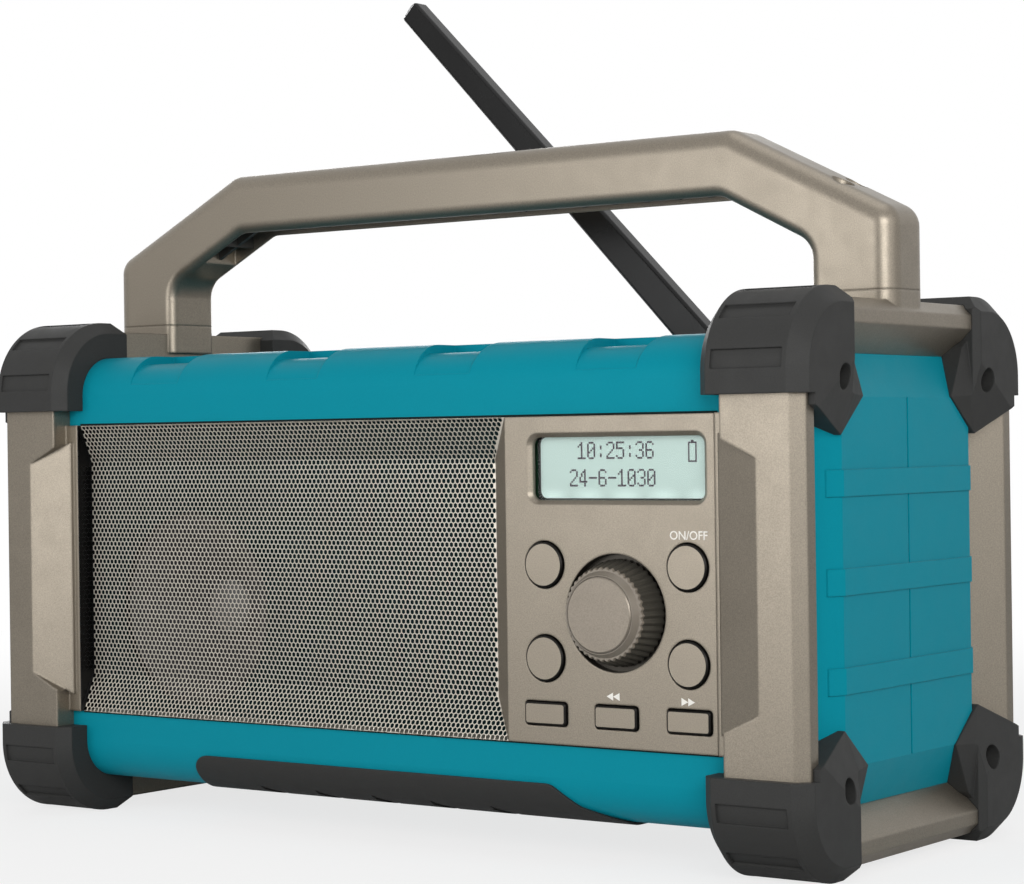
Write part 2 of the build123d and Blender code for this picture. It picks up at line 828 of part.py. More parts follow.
def end_cap():
    """Right end cap: a dished cover with sloped edges, three raised bands and a vertical groove."""
    groove = box(
        cap_face_x - cap_groove_depth,
        cap_face_x,
        -cap_groove_width / 2,
        cap_groove_width / 2,
        -ring_half_height + cap_band_width_height,
        ring_half_height - cap_band_width_height,
    )
    cap = cap_solid - cap_form(cap_wall, -cap_wall) - groove
    raised = cap_form(0, cap_rib_height)
    for index in (-1, 0, 1):
        height = index * cap_rib_pitch
        band = box(
            cap_edge_x,
            cap_face_x + cap_rib_height,
            -cap_rib_half_length,
            cap_rib_half_length,
            height - cap_rib_width / 2,
            height + cap_rib_width / 2,
        )
        cap = cap + (band & raised)
    lap_y = ring_half_depth + cap_flange_lap
    lap_z = body_half_height - shell_wall - loose_fit
    flange_x = body_half_length - cap_flange_thickness
    flange = box(flange_x, body_half_length, -lap_y, lap_y, -lap_z, lap_z)
    flange = flange & body_outline(shell_wall + loose_fit, -body_half_length, body_half_length)
    hollow = box(
        flange_x,
        body_half_length,
        -ring_half_depth + cap_wall,
        ring_half_depth - cap_wall,
        -ring_half_height + cap_wall,
        ring_half_height - cap_wall,
    )
    cap = cap + (flange - hollow)
    y, z = gusset_hole_place
    for side_y in (-1, 1):
        for side_z in (-1, 1):
            cap = cap - rod_x(
                side_y * y,
                side_z * z,
                screw_shank_radius + running_fit,
                body_half_length + cap_wall,
                cap_face_x,
            )
    return cap


# ---------------------------------------------------------------- corner bumpers
bumper_reach_y = bumper_centre_depth + bumper_radius
bumper_reach_z = bumper_centre_height + bumper_radius


def from_bumper_centre(outboard, rise):
    """A (y, z) place measured from the centre of the bumper's round."""
    return (bumper_centre_depth + outboard, bumper_centre_height + rise)


gusset_tip = from_bumper_centre(-gusset_tip_inboard, -gusset_tip_drop)
gusset_inner_corner = from_bumper_centre(-gusset_inner_inboard, -gusset_inner_drop)
gusset_notch = from_bumper_centre(-gusset_notch_inboard, gusset_notch_rise)
gusset_crease = from_bumper_centre(-gusset_crease_inboard, -gusset_crease_drop)
gusset_post_corner = from_bumper_centre(gusset_post_outboard, -gusset_post_drop)
gusset_hole_place = from_bumper_centre(-gusset_hole_inboard, -gusset_hole_drop)


def bumper_wall_outline():
    """Outline of a bumper seen from the side: leg, quarter round and arm."""
    half_turn = bumper_radius * math.sqrt(0.5)
    corner = ThreePointArc(
        (bumper_reach_y, bumper_centre_height),
        from_bumper_centre(half_turn, half_turn),
        (bumper_centre_depth, bumper_reach_z),
    )
    path = Polyline(
        (bumper_centre_depth, bumper_reach_z),
        (bumper_arm_y, bumper_reach_z),
        (bumper_arm_y, bumper_leg_z),
        (bumper_reach_y, bumper_leg_z),
        (bumper_reach_y, bumper_centre_height),
    )
    return make_face(corner + path)


def gusset_face_x(place):
    """Height of the gusset's sloping face, as an X place, over a (y, z) place."""
    tip_y, tip_z = gusset_tip
    tip_x = bumper_side_x - gusset_tip_below_side
    rise = gusset_rise_to_post * (place[0] - tip_y) + gusset_rise_to_bar * (place[1] - tip_z)
    return tip_x + rise


def gusset():
    """The bumper's pointed gusset over the end cap, with its sloping face and two bevel facets."""
    outline = [
        (bumper_reach_y - bumper_side_bevel, bumper_leg_z),
        (gusset_post_corner[0], bumper_leg_z),
        gusset_post_corner,
        gusset_tip,
        gusset_inner_corner,
        gusset_notch,
        (bumper_arm_y, gusset_notch[1] + gusset_arm_lap),
        (bumper_centre_depth, bumper_reach_z - bumper_side_bevel),
    ]
    block = prism_x(outline, body_half_length, bumper_side_x)
    edge_x = bumper_side_x - gusset_edge_below_side
    crease = (gusset_face_x(gusset_crease), *gusset_crease)
    corner = (edge_x, *gusset_inner_corner)
    notch = (edge_x, *gusset_notch)
    tip = (gusset_face_x(gusset_tip), *gusset_tip)
    size = 4 * bumper_radius
    post_place = (gusset_face_x(gusset_post_corner), *gusset_post_corner)
    for plane_points in ((tip, post_place, crease), (corner, notch, crease), (corner, tip, crease)):
        block = block - block_past_plane(plane_points, size)
    return block


def rim_edges(face):
    """The edges of a bumper's side face that run along its front, its round and its top."""
    rim = [e for e in face.edges() if e.geom_type == GeomType.CIRCLE]
    rim += [e for e in face.edges() if abs(e.center().Y - bumper_reach_y) < tolerance]
    rim += [e for e in face.edges() if abs(e.center().Z - bumper_reach_z) < tolerance]
    return rim


def bumper():
    """Right rear top bumper: a quarter-round rubber wall over the frame's corner, with its gusset."""
    depth = bumper_side_x - bumper_inner_x
    wall = extrude(Plane.YZ.offset(bumper_inner_x) * bumper_wall_outline(), amount=depth)
    wall = chamfer(rim_edges(wall.faces().sort_by(Axis.X)[-1]), bumper_side_bevel)
    wall = chamfer(rim_edges(wall.faces().sort_by(Axis.X)[0]), bumper_rim_bevel)
    arm_end = corner_wedge(bumper_arm_y, bumper_reach_z, -1, 1, bumper_end_bevel)
    arm_side = corner_wedge(bumper_side_x, bumper_arm_y, 1, -1, bumper_arm_corner_bevel)
    wall = wall - prism_x(arm_end, bumper_inner_x - cut_over, bumper_side_x + cut_over)
    wall = wall - prism_z(arm_side, 0, bumper_reach_z + cut_over)
    size = 4 * bumper_radius
    face_places = (gusset_tip, gusset_post_corner, gusset_crease)
    face_points = [(gusset_face_x(place), *place) for place in face_places]
    wall = wall - block_past_plane(face_points, size)
    wall = wall - bumper_bands()
    rubber = wall + gusset()
    rubber = rubber - body_solid - frame_ring - cap_solid
    rubber = rubber - end_cap_bands()
    y, z = gusset_hole_place
    seat_x = gusset_face_x(gusset_hole_place) - gusset_screw_depth
    rubber = rubber - rod_x(y, z, gusset_hole_radius, seat_x, bumper_side_x + cut_over)
    return rubber - rod_x(y, z, screw_shank_radius + running_fit, body_half_length, bumper_side_x)


def end_cap_bands():
    """The end cap's raised bands as a filled block that the bumper is cleared of."""
    return cap_form(0, cap_rib_height) & box(
        cap_edge_x,
        cap_face_x + cap_rib_height,
        -cap_rib_half_length,
        cap_rib_half_length,
        -cap_rib_pitch - cap_rib_width / 2,
        cap_rib_pitch + cap_rib_width / 2,
    )


def bumper_bands():
    """Shallow bands sunk in the bumper's outer wall, as wedges of a ring."""
    ring_outer = 2 * bumper_radius
    ring_inner = bumper_radius - bumper_band_depth
    x0 = bumper_inner_x + bumper_rim_bevel + bumper_band_margin
    x1 = bumper_side_x - bumper_side_bevel - bumper_band_margin
    centre = from_bumper_centre(0, 0)
    ring = rod_x(*centre, ring_outer, x0, x1) - rod_x(*centre, ring_inner, x0, x1)
    reach = 2 * ring_outer
    wedges = []
    for middle in bumper_band_centres:
        points = [centre]
        for offset in (-0.5, 0.0, 0.5):
            turn = math.radians(middle + offset * bumper_band_spread)
            points.append(from_bumper_centre(reach * math.cos(turn), reach * math.sin(turn)))
        wedges.append(prism_x(points, x0, x1) & ring)
    return Compound(wedges)


def bumper_screw():
    """Screw at the bottom of the gusset's hole, into the end cap."""
    y, z = gusset_hole_place
    seat_x = gusset_face_x(gusset_hole_place) - gusset_screw_depth
    head = rod_x(y, z, screw_head_radius, seat_x, seat_x + screw_head_length)
    return head + rod_x(y, z, screw_shank_radius, seat_x - screw_length, seat_x)


# ---------------------------------------------------------------- handle
def handle_outline():
    """The handle seen from the front, as (x, z) points."""
    right = [
        (handle_inner_half_length, handle_foot_height),
        (handle_half_length, handle_foot_height),
        (handle_half_length, handle_shoulder_height),
        (handle_top_half_length, handle_top_height),
    ]
    inner = [
        (-handle_inner_top_half_length, handle_inner_top_height),
        (handle_inner_top_half_length, handle_inner_top_height),
        (handle_inner_half_length, handle_inner_shoulder_height),
    ]
    left = [(-x, z) for x, z in reversed(right)]
    return right + left + [(-handle_inner_half_length, handle_inner_shoulder_height)] + inner


def edges_through(piece, places):
    """Edges along Y that pass through the given (x, z) places and their mirror images."""
    found = []
    for edge in piece.edges().filter_by(Axis.Y):
        centre = edge.center()
        for x, z in places:
            if abs(abs(centre.X) - x) < tolerance and abs(centre.Z - z) < tolerance:
                found.append(edge)
    return found


def outer_slope_height(x, inset):
    """Height of the handle's outer outline at x, set in by `inset`."""
    rise = handle_top_height - handle_shoulder_height
    run = handle_half_length - handle_top_half_length
    drop = inset * math.hypot(rise, run) / run
    sloped = handle_shoulder_height + (handle_half_length - abs(x)) * rise / run - drop
    return min(sloped, handle_top_height - inset)


def inner_slope_height(x):
    """Height of the handle's inner outline at x."""
    rise = handle_inner_top_height - handle_inner_shoulder_height
    run = handle_inner_half_length - handle_inner_top_half_length
    sloped = handle_inner_shoulder_height + (handle_inner_half_length - abs(x)) * rise / run
    return min(sloped, handle_inner_top_height)


def bend_x(inset):
    """Where the handle's outer outline, set in by `inset`, turns from the slope to the top."""
    rise = handle_top_height - handle_shoulder_height
    run = handle_half_length - handle_top_half_length
    return handle_top_half_length - inset * (math.hypot(rise, run) - run) / rise


def handle_shell():
    """The handle: a bent bar with rounded long edges, hollow and open along its underside."""
    bar_solid = prism_y(handle_outline(), -handle_half_width, handle_half_width)
    outer_corners = [
        (handle_half_length, handle_shoulder_height),
        (handle_top_half_length, handle_top_height),
    ]
    inner_corners = [
        (handle_inner_half_length, handle_inner_shoulder_height),
        (handle_inner_top_half_length, handle_inner_top_height),
    ]
    shaped = fillet(edges_through(bar_solid, outer_corners), handle_outer_corner_radius)
    shaped = fillet(edges_through(shaped, inner_corners), handle_inner_corner_radius)
    side_edges = [e for e in shaped.edges() if abs(abs(e.center().Y) - handle_half_width) < tolerance]
    side_edges = [e for e in side_edges if e.center().Z > handle_foot_height + tolerance]
    outer_edges = []
    inner_edges = []
    for edge in side_edges:
        centre = edge.center()
        half_way = (outer_slope_height(centre.X, 0) + inner_slope_height(centre.X)) / 2
        middle_x = (handle_half_length + handle_inner_half_length) / 2
        if abs(centre.X) > middle_x or centre.Z > half_way:
            outer_edges.append(edge)
        else:
            inner_edges.append(edge)
    shaped = fillet(outer_edges, handle_outer_edge_radius)
    inner_again = []
    for edge in shaped.edges():
        for old in inner_edges:
            if (edge.center() - old.center()).length < tolerance:
                inner_again.append(edge)
    shaped = fillet(inner_again, handle_inner_edge_radius)
    shaped = shaped - handle_cavity()
    for side_x in (-1, 1):
        for side_y in (-1, 1):
            x = side_x * handle_screw_x
            y = side_y * handle_screw_spacing / 2
            shaped = shaped - rod_z(x, y, handle_recess_radius, handle_recess_height, handle_top_height)
            shaped = shaped - rod_z(
                x, y, screw_shank_radius + running_fit, handle_foot_height, handle_recess_height
            )
    return shaped


def handle_cavity():
    """Room inside the handle, open downwards along the grip and the sloping parts."""
    end = handle_cavity_half_length
    bend = bend_x(handle_wall)
    low = handle_foot_height
    points = [
        (-end, low),
        (-end, outer_slope_height(end, handle_wall)),
        (-bend, handle_top_height - handle_wall),
        (bend, handle_top_height - handle_wall),
        (end, outer_slope_height(end, handle_wall)),
        (end, low),
    ]
    half_width = handle_half_width - handle_wall
    return prism_y(points, -half_width, half_width)


def handle_rib_insert():
    """Ribbed filling of the handle's underside: a spine, a middle web and cross ribs."""
    end = handle_cavity_half_length
    bend = bend_x(handle_wall)
    inset = handle_wall + handle_spine_thickness
    inner_bend = bend_x(inset)
    spine = [
        (-end, outer_slope_height(end, handle_wall)),
        (-bend, handle_top_height - handle_wall),
        (bend, handle_top_height - handle_wall),
        (end, outer_slope_height(end, handle_wall)),
        (end, outer_slope_height(end, inset)),
        (inner_bend, handle_top_height - inset),
        (-inner_bend, handle_top_height - inset),
        (-end, outer_slope_height(end, inset)),
    ]
    half_width = handle_half_width - handle_wall
    insert = prism_y(spine, -half_width, half_width)
    web = [
        (-end, inner_slope_height(end) + handle_rib_set_back),
        (-end, outer_slope_height(end, handle_wall)),
        (-bend, handle_top_height - handle_wall),
        (bend, handle_top_height - handle_wall),
        (end, outer_slope_height(end, handle_wall)),
        (end, inner_slope_height(end) + handle_rib_set_back),
        (handle_inner_top_half_length, handle_inner_top_height + handle_rib_set_back),
        (-handle_inner_top_half_length, handle_inner_top_height + handle_rib_set_back),
    ]
    insert = insert + prism_y(web, -handle_rib_thickness / 2, handle_rib_thickness / 2)
    rib_count = int((end - handle_rib_thickness) / handle_rib_pitch)
    for index in range(-rib_count, rib_count + 1):
        x = index * handle_rib_pitch
        rib = box(
            x - handle_rib_thickness / 2,
            x + handle_rib_thickness / 2,
            -half_width,
            half_width,
            inner_slope_height(x) + handle_rib_set_back,
            outer_slope_height(x, inset) + handle_spine_thickness / 2,
        )
        insert = insert + rib
    return insert


def handle_screws():
    """Four screws that hold the handle's legs to the bosses on the top bars."""
    screws = []
    for side_x in (-1, 1):
        for side_y in (-1, 1):
            x = side_x * handle_screw_x
            y = side_y * handle_screw_spacing / 2
            bottom = handle_boss_bottom_height
            shank = rod_z(x, y, screw_shank_radius, bottom, handle_recess_height)
            head = rod_z(
                x, y, screw_head_radius, handle_recess_height, handle_recess_height + screw_head_length
            )
            screws.append(shank + head)
    return screws


# ---------------------------------------------------------------- speaker grille
def dish_side(inset, front, back, below, x0, x1):
    """Room in front of the grille's sloping top and bottom, carried on `below` its floor, along X."""
    half_height = panel_half_height - inset
    floor_half_height = half_height - grille_slope_height
    upper = [(front - cut_reach, half_height), (front, half_height), (back, floor_half_height)]
    if below > 0:
        upper.append((back + below, floor_half_height))
    lower = [(y, -z) for y, z in reversed(upper)]
    return prism_x(upper + lower, x0, x1)


def dish(inset, front, back):
    """The grille's dished form: sloping top and bottom and a steep left side."""
    left = grille_left + inset
    right = mullion_left - inset
    reach_y = front - cut_reach
    half_height = panel_half_height - inset
    corners = [
        (left, reach_y),
        (left, front),
        (left + grille_side_length, back),
        (right, back),
        (right, reach_y),
    ]
    plan = prism_z(corners, -half_height, half_height)
    return dish_side(inset, front, back, 0, left, right) & plan


def grille_block(left, right, inset):
    """A block as deep as the opening's ledge, set in from the grille's top and bottom."""
    half_height = panel_half_height - inset
    return box(left, right, panel_front_y, ledge_y, -half_height, half_height)


def speaker_grille():
    """Formed sheet with a skirt on the casing's ledge; its slopes run on beside the panel's slope."""
    wall = grille_thickness
    right = panel_left - loose_fit
    below = ledge_y - grille_floor_y + cut_over
    front_back = panel_front_y + 2 * wall
    floor_back = grille_floor_y + wall
    sheet = grille_block(grille_left, mullion_left, 0) - dish(0, panel_front_y, grille_floor_y)
    behind = grille_block(grille_left + wall, mullion_left - wall, wall)
    sheet = sheet - (behind - dish(-2 * wall, front_back, floor_back))
    corners = grille_block(mullion_left, right, 0)
    corners = corners - dish_side(0, panel_front_y, grille_floor_y, below, mullion_left, right)
    behind = grille_block(mullion_left - wall, right - wall, wall)
    behind = behind - dish_side(-2 * wall, front_back, floor_back, below, mullion_left - wall, right)
    return sheet + corners - behind


# ---------------------------------------------------------------- speaker
def speaker_pieces():
    """Basket, surround, cone, dust cap and magnet, all turned about the speaker's axis."""
    seat = ledge_rear_y
    flange_back = seat + speaker_flange_thickness
    plate_front = flange_back + basket_depth
    plate_back = plate_front + basket_plate
    coil_radius = cone_inner_radius
    basket = [
        (speaker_hole_radius, seat),
        (speaker_flange_radius, seat),
        (speaker_flange_radius, flange_back),
        (speaker_hole_radius + basket_wall, flange_back),
        (basket_throat_radius + basket_wall, plate_back),
        (coil_radius + coil_gap, plate_back),
        (coil_radius + coil_gap, plate_front),
        (basket_throat_radius, plate_front),
        (speaker_hole_radius, flange_back),
    ]
    middle = (cone_outer_radius + speaker_hole_radius) / 2
    surround = [
        (cone_outer_radius, seat),
        (middle, seat - surround_height),
        (speaker_hole_radius, seat),
        (speaker_hole_radius, flange_back),
        (cone_outer_radius, flange_back),
    ]
    cone_front = seat
    cone_back = seat + cone_depth
    cone = [
        (cone_outer_radius, cone_front),
        (cone_outer_radius, cone_front + cone_thickness),
        (cone_inner_radius, cone_back + cone_thickness),
        (cone_inner_radius, plate_back - coil_end_gap),
        (cone_inner_radius - cone_thickness, plate_back - coil_end_gap),
        (cone_inner_radius - cone_thickness, cone_back),
        (cone_inner_radius, cone_back),
    ]
    dome_radius = (cone_inner_radius**2 + dust_cap_rise**2) / (2 * dust_cap_rise)
    dome_centre = cone_back - dust_cap_rise + dome_radius
    dome = Pos(speaker_x, dome_centre, speaker_height) * Sphere(dome_radius)
    hollow = Pos(speaker_x, dome_centre, speaker_height) * Sphere(dome_radius - dust_cap_thickness)
    tube = rod_y(speaker_x, speaker_height, cone_inner_radius, cone_back - dust_cap_rise, cone_back)
    dust_cap = (dome - hollow) & tube
    magnet = rod_y(speaker_x, speaker_height, magnet_radius, plate_back, plate_back + magnet_length)
    return {
        "speaker_basket": turned_y(speaker_x, speaker_height, basket) - speaker_screw_holes(),
        "speaker_surround": turned_y(speaker_x, speaker_height, surround),
        "speaker_cone": turned_y(speaker_x, speaker_height, cone),
        "speaker_dust_cap": dust_cap,
        "speaker_magnet": magnet,
    }


def speaker_screw_holes():
    """Clearance holes in the basket's flange."""
    back = ledge_rear_y + speaker_flange_thickness
    radius = speaker_screw_radius + running_fit
    front = ledge_rear_y - cut_over
    return Compound([rod_y(x, z, radius, front, back + cut_over) for x, z in speaker_screw_places()])


def speaker_screws():
    """Screws through the speaker's flange into the baffle."""
    screws = []
    seat = ledge_rear_y + speaker_flange_thickness
    end = ledge_y + speaker_screw_blind_wall + speaker_screw_end_gap
    for x, z in speaker_screw_places():
        shank = rod_y(x, z, speaker_screw_radius, end, seat)
        head = rod_y(x, z, speaker_screw_head_radius, seat, seat + speaker_screw_radius)
        screws.append(shank + head)
    return screws


# ---------------------------------------------------------------- controls
round_buttons = {
    "mode_button": (knob_x - control_column_pitch, round_button_heights[0]),
    "preset_button": (knob_x - control_column_pitch, round_button_heights[1]),
    "power_button": (knob_x + control_column_pitch, round_button_heights[0]),
    "tone_button": (knob_x + control_column_pitch, round_button_heights[1]),
}
bar_buttons = {
    "menu_button": (knob_x - control_column_pitch, bar_button_centre_height),
    "previous_button": (knob_x, bar_button_centre_height),
    "next_button": (knob_x + control_column_pitch, bar_button_centre_height),
}
display_right = opening_half_length - display_right_inset
display_left = display_right - display_length
display_top = opening_half_height - display_top_inset
display_bottom = display_top - display_height


def bar_form(place, grow_length, grow_height, y0, y1):
    """A rectangular button's block, grown at its ends and along its long sides."""
    x, z = place
    half_length = bar_button_length / 2 + grow_length
    half_height = bar_button_height / 2 + grow_height
    return box(x - half_length, x + half_length, y0, y1, z - half_height, z + half_height)


def display_hole(grow, y0, y1):
    """The display's opening with rounded corners, grown all round."""
    left = display_left - grow
    right = display_right + grow
    block = box(left, right, y0, y1, display_bottom - grow, display_top + grow)
    return fillet(block.edges().filter_by(Axis.Y), display_corner_radius + grow)


def board_boss_places():
    """Places of the bosses that carry the control board, between the controls."""
    half = control_column_pitch / 2
    heights = (board_boss_height, board_boss_low_height)
    return [(knob_x + side * half, z) for side in (-1, 1) for z in heights]


def control_panel():
    """Moulded panel with the display opening, button holes and the knob's well."""
    outer = [
        (mullion_left, ledge_y),
        (mullion_left, panel_front_y + panel_slope_depth),
        (panel_left, panel_front_y),
        (panel_right, panel_front_y),
        (panel_right, ledge_y),
    ]
    inner = [
        (mullion_left + panel_thickness, ledge_y),
        (panel_left + panel_thickness / 2, panel_rear_y),
        (panel_right - panel_side_wall, panel_rear_y),
        (panel_right - panel_side_wall, ledge_y),
    ]
    half = panel_half_height
    inside = half - panel_thickness
    panel = prism_z(outer, -half, half) - prism_z(inner, -inside, inside)
    below = ledge_y - grille_floor_y + cut_over
    slope = box(mullion_left, panel_left, panel_front_y, ledge_y, -half, half)
    slope_kept = dish_side(loose_fit, panel_front_y, grille_floor_y, below, mullion_left, panel_left)
    panel = panel - (slope - slope_kept)
    well_radius = knob_well_radius + panel_thickness / 2
    panel = panel + rod_y(knob_x, knob_axis_height, well_radius, panel_front_y, well_rear_y)
    for x, z in board_boss_places():
        panel = panel + rod_y(x, z, board_boss_radius, panel_rear_y - panel_thickness / 2, board_front_y)
    panel = panel - rod_y(knob_x, knob_axis_height, knob_well_radius, panel_front_y, well_floor_y)
    panel = panel - rod_y(
        knob_x, knob_axis_height, encoder_nose_radius + loose_fit, well_floor_y, well_rear_y
    )
    panel = panel - display_hole(0, panel_front_y, panel_rear_y)
    lip = display_hole(display_lip, panel_front_y - display_lip, panel_front_y + display_lip)
    lip_face = lip.faces().sort_by(Axis.Y)[-1]
    panel = panel - chamfer(lip_face.edges(), display_lip - tolerance)
    for x, z in round_buttons.values():
        radius = round_button_radius + button_hole_clearance
        panel = panel - rod_y(x, z, radius, panel_front_y, panel_rear_y)
    for place in bar_buttons.values():
        clearance = button_hole_clearance
        hole = bar_form(place, clearance, clearance, panel_front_y, panel_rear_y)
        hole_corner = bar_button_corner_radius + button_hole_clearance
        panel = panel - fillet(hole.edges().filter_by(Axis.Y), hole_corner)
    return panel


def round_button(place):
    """A round key with a retaining lip behind the panel and a stem to its switch."""
    x, z = place
    cap = rod_y(x, z, round_button_radius, button_front_y, button_lip_front_y)
    cap = chamfer(cap.faces().sort_by(Axis.Y)[0].edges(), button_edge_bevel)
    lip_back = button_lip_front_y + button_lip_thickness
    lip = rod_y(x, z, round_button_radius + button_lip, button_lip_front_y, lip_back)
    return cap + lip + rod_y(x, z, button_stem_radius, lip_back, button_stem_end_y)


def bar_button(place):
    """A rectangular key with lips along its long sides and a stem to its switch."""
    x, z = place
    cap = bar_form(place, 0, 0, button_front_y, button_lip_front_y)
    cap = fillet(cap.edges().filter_by(Axis.Y), bar_button_corner_radius)
    cap = chamfer(cap.faces().sort_by(Axis.Y)[0].edges(), button_edge_bevel)
    lip_back = button_lip_front_y + button_lip_thickness
    lip = bar_form(place, 0, button_lip, button_lip_front_y, lip_back)
    return cap + lip + rod_y(x, z, button_stem_radius, lip_back, button_stem_end_y)


def control_switches():
    """One small push switch on the board behind each button."""
    switches = []
    for x, z in list(round_buttons.values()) + list(bar_buttons.values()):
        half = switch_half_width
        body_front_y = board_front_y - switch_body_height
        body = box(x - half, x + half, body_front_y, board_front_y, z - half, z + half)
        nub = rod_y(x, z, switch_nub_radius, switch_tip_y, body_front_y)
        switches.append(body + nub)
    return switches


def control_board():
    """Printed board behind the panel, inside the ledge."""
    left = mullion_left + 2 * opening_ledge_lap + board_margin
    right = opening_half_length - opening_ledge_lap - board_margin
    half = opening_half_height - opening_ledge_lap - board_margin
    return box(left, right, board_front_y, board_rear_y, -half, half)


def display_window():
    """Clear window, seated against the back of the panel."""
    lap = window_lap
    return box(
        display_left - lap,
        display_right + lap,
        panel_rear_y,
        panel_rear_y + window_thickness,
        display_bottom - lap,
        display_top + lap,
    )


def display_module():
    """Liquid crystal display between the window and the control board."""
    return box(
        display_left,
        display_right - board_margin,
        panel_rear_y + window_thickness,
        board_front_y,
        display_bottom,
        display_top,
    )


def encoder_body():
    """Rotary encoder with a nose round its shaft and a chamber for its push contact."""
    half = encoder_half_width
    x, z = knob_x, knob_axis_height
    body = box(x - half, x + half, encoder_front_y, board_front_y, z - half, z + half)
    body = body + rod_y(x, z, encoder_nose_radius, encoder_front_y - encoder_nose_length, encoder_front_y)
    body = body - rod_y(
        x, z, shaft_radius + running_fit, encoder_front_y - encoder_nose_length, chamber_front_y
    )
    return body - rod_y(x, z, encoder_chamber_radius, chamber_front_y, chamber_rear_y)


def encoder_plunger():
    """Push contact behind the shaft's end."""
    return rod_y(knob_x, knob_axis_height, plunger_radius, plunger_front_y, plunger_rear_y)


shaft_front_y = knob_front_y + knob_cap_thickness


def encoder_shaft():
    """Shaft from the encoder into the knob."""
    return rod_y(knob_x, knob_axis_height, shaft_radius, shaft_front_y, shaft_end_y)


def tuning_knob():
    """Knob with fine grooves round its rim and a seat for its cap."""
    outline = []
    for index in range(2 * knob_groove_count):
        angle = math.pi * index / knob_groove_count
        radius = knob_radius - (index % 2) * knob_groove_depth
        outline.append(
            (knob_x + radius * math.cos(angle), knob_axis_height + radius * math.sin(angle))
        )
    knob = prism_y(outline, knob_front_y, knob_rear_y)
    envelope = rod_y(knob_x, knob_axis_height, knob_radius, knob_front_y, knob_rear_y)
    envelope = chamfer(envelope.faces().sort_by(Axis.Y)[0].edges(), knob_front_bevel)
    knob = knob & envelope
    seat_y = knob_front_y + knob_cap_thickness - knob_cap_proud
    knob = knob - rod_y(knob_x, knob_axis_height, knob_cap_radius, knob_front_y, seat_y)
    return knob - rod_y(knob_x, knob_axis_height, shaft_radius, shaft_front_y, knob_rear_y)


def knob_cap():
    """Metal disc set into the knob's front."""
    front = knob_front_y - knob_cap_proud
    cap = rod_y(knob_x, knob_axis_height, knob_cap_radius, front, front + knob_cap_thickness)
    return chamfer(cap.faces().sort_by(Axis.Y)[0].edges(), button_edge_bevel)


# ---------------------------------------------------------------- rear fittings and inner pieces
def battery_pack():
    """Rechargeable pack that fills the battery bay."""
    pack = box(
        -bay_half_length + battery_margin,
        bay_half_length - battery_margin,
        bay_floor_y,
        bay_floor_y + battery_thickness,
        bay_bottom_height + battery_margin,
        bay_top_height - battery_margin,
    )
    return fillet(pack.edges().filter_by(Axis.Y), battery_margin)


def socket(x, seat_y, wall, collar_radius, hole_radius):
    """A socket behind a wall whose outer face is at `seat_y`, with a round collar through it."""
    half = socket_body_half_width
    back = seat_y - wall
    end = back - socket_body_length
    body = box(x - half, x + half, end, back, socket_height - half, socket_height + half)
    collar = rod_y(x, socket_height, collar_radius, back, seat_y + socket_collar_proud)
    return body + collar - rod_y(x, socket_height, hole_radius, end + socket_back_wall, seat_y + wall)


def main_board():
    """Main printed board on the rear shell's bosses."""
    return box(
        main_board_left_x,
        main_board_left_x + main_board_length,
        main_board_y - board_thickness,
        main_board_y,
        main_board_bottom_height,
        main_board_top_height,
    )


def base_pad():
    """Dark strip bent round the casing's lower front edge, with slanted slots."""
    underside = -body_half_height
    top = underside + pad_top_rise
    back_y = front_y + pad_back_inset
    outline = [
        (pad_left_x, top),
        (pad_top_right_x, top),
        (pad_shoulder_x, underside + pad_shoulder_rise),
        (pad_right_x, underside),
        (pad_right_x, underside - 2 * pad_thickness),
        (pad_left_x, underside - 2 * pad_thickness),
    ]
    front = front_y - 2 * pad_thickness
    strip = prism_y(outline, front, back_y)
    strip = fillet(edges_along_y_at(strip, pad_left_x, top), pad_corner_radius)
    strip = fillet(edges_along_y_at(strip, pad_top_right_x, top), pad_corner_radius)
    left = pad_left_x - cut_over
    right = pad_right_x + cut_over
    pad = strip & (body_outline(-pad_thickness, left, right) - body_solid)
    slot_skin = body_outline(-2 * pad_thickness, pad_left_x, pad_right_x)
    slot_skin = slot_skin - body_outline(-pad_thickness / 2, left, right)
    for index in range(pad_slot_count):
        x = pad_slot_first_x + index * pad_slot_pitch
        slot_end = x + pad_slot_length
        slot_top = underside + pad_slot_rise
        slot_low = slot_top - pad_slot_drop
        slot = prism_y(
            [
                (x, slot_top),
                (slot_end, slot_low),
                (slot_end, slot_low - pad_slot_width),
                (x, slot_top - pad_slot_width),
            ],
            front,
            back_y,
        )
        pad = pad - (slot & slot_skin)
    return pad


def edges_along_y_at(piece, x, z):
    """The edges along Y at one (x, z) place."""
    found = []
    for edge in piece.edges().filter_by(Axis.Y):
        centre = edge.center()
        if abs(centre.X - x) < tolerance and abs(centre.Z - z) < tolerance:
            found.append(edge)
    return found


# ---------------------------------------------------------------- aerial
def antenna_mast():
    """Flat rubber aerial: a tapered blade on a round eye, tilted as it stands."""
    half_base = antenna_base_width / 2
    half_tip = antenna_tip_width / 2
    half_thickness = antenna_thickness / 2
    blade = prism_y(
        [(-half_base, 0), (half_base, 0), (half_tip, antenna_length), (-half_tip, antenna_length)],
        -half_thickness,
        half_thickness,
    )
    blade = chamfer(blade.faces().sort_by(Axis.Z)[-1].edges(), antenna_tip_bevel)
    long_edges = [e for e in blade.edges() if e.length > antenna_length / 2]
    blade = chamfer(long_edges, antenna_edge_bevel)
    eye = rod_y(0, 0, half_base, -half_thickness, half_thickness)
    mast = blade + eye - rod_y(0, 0, antenna_pin_radius + running_fit, -half_thickness, half_thickness)
    place = Pos(antenna_pivot_x, antenna_y, antenna_pivot_height)
    return place * Rot(0, -antenna_tilt, 0) * mast


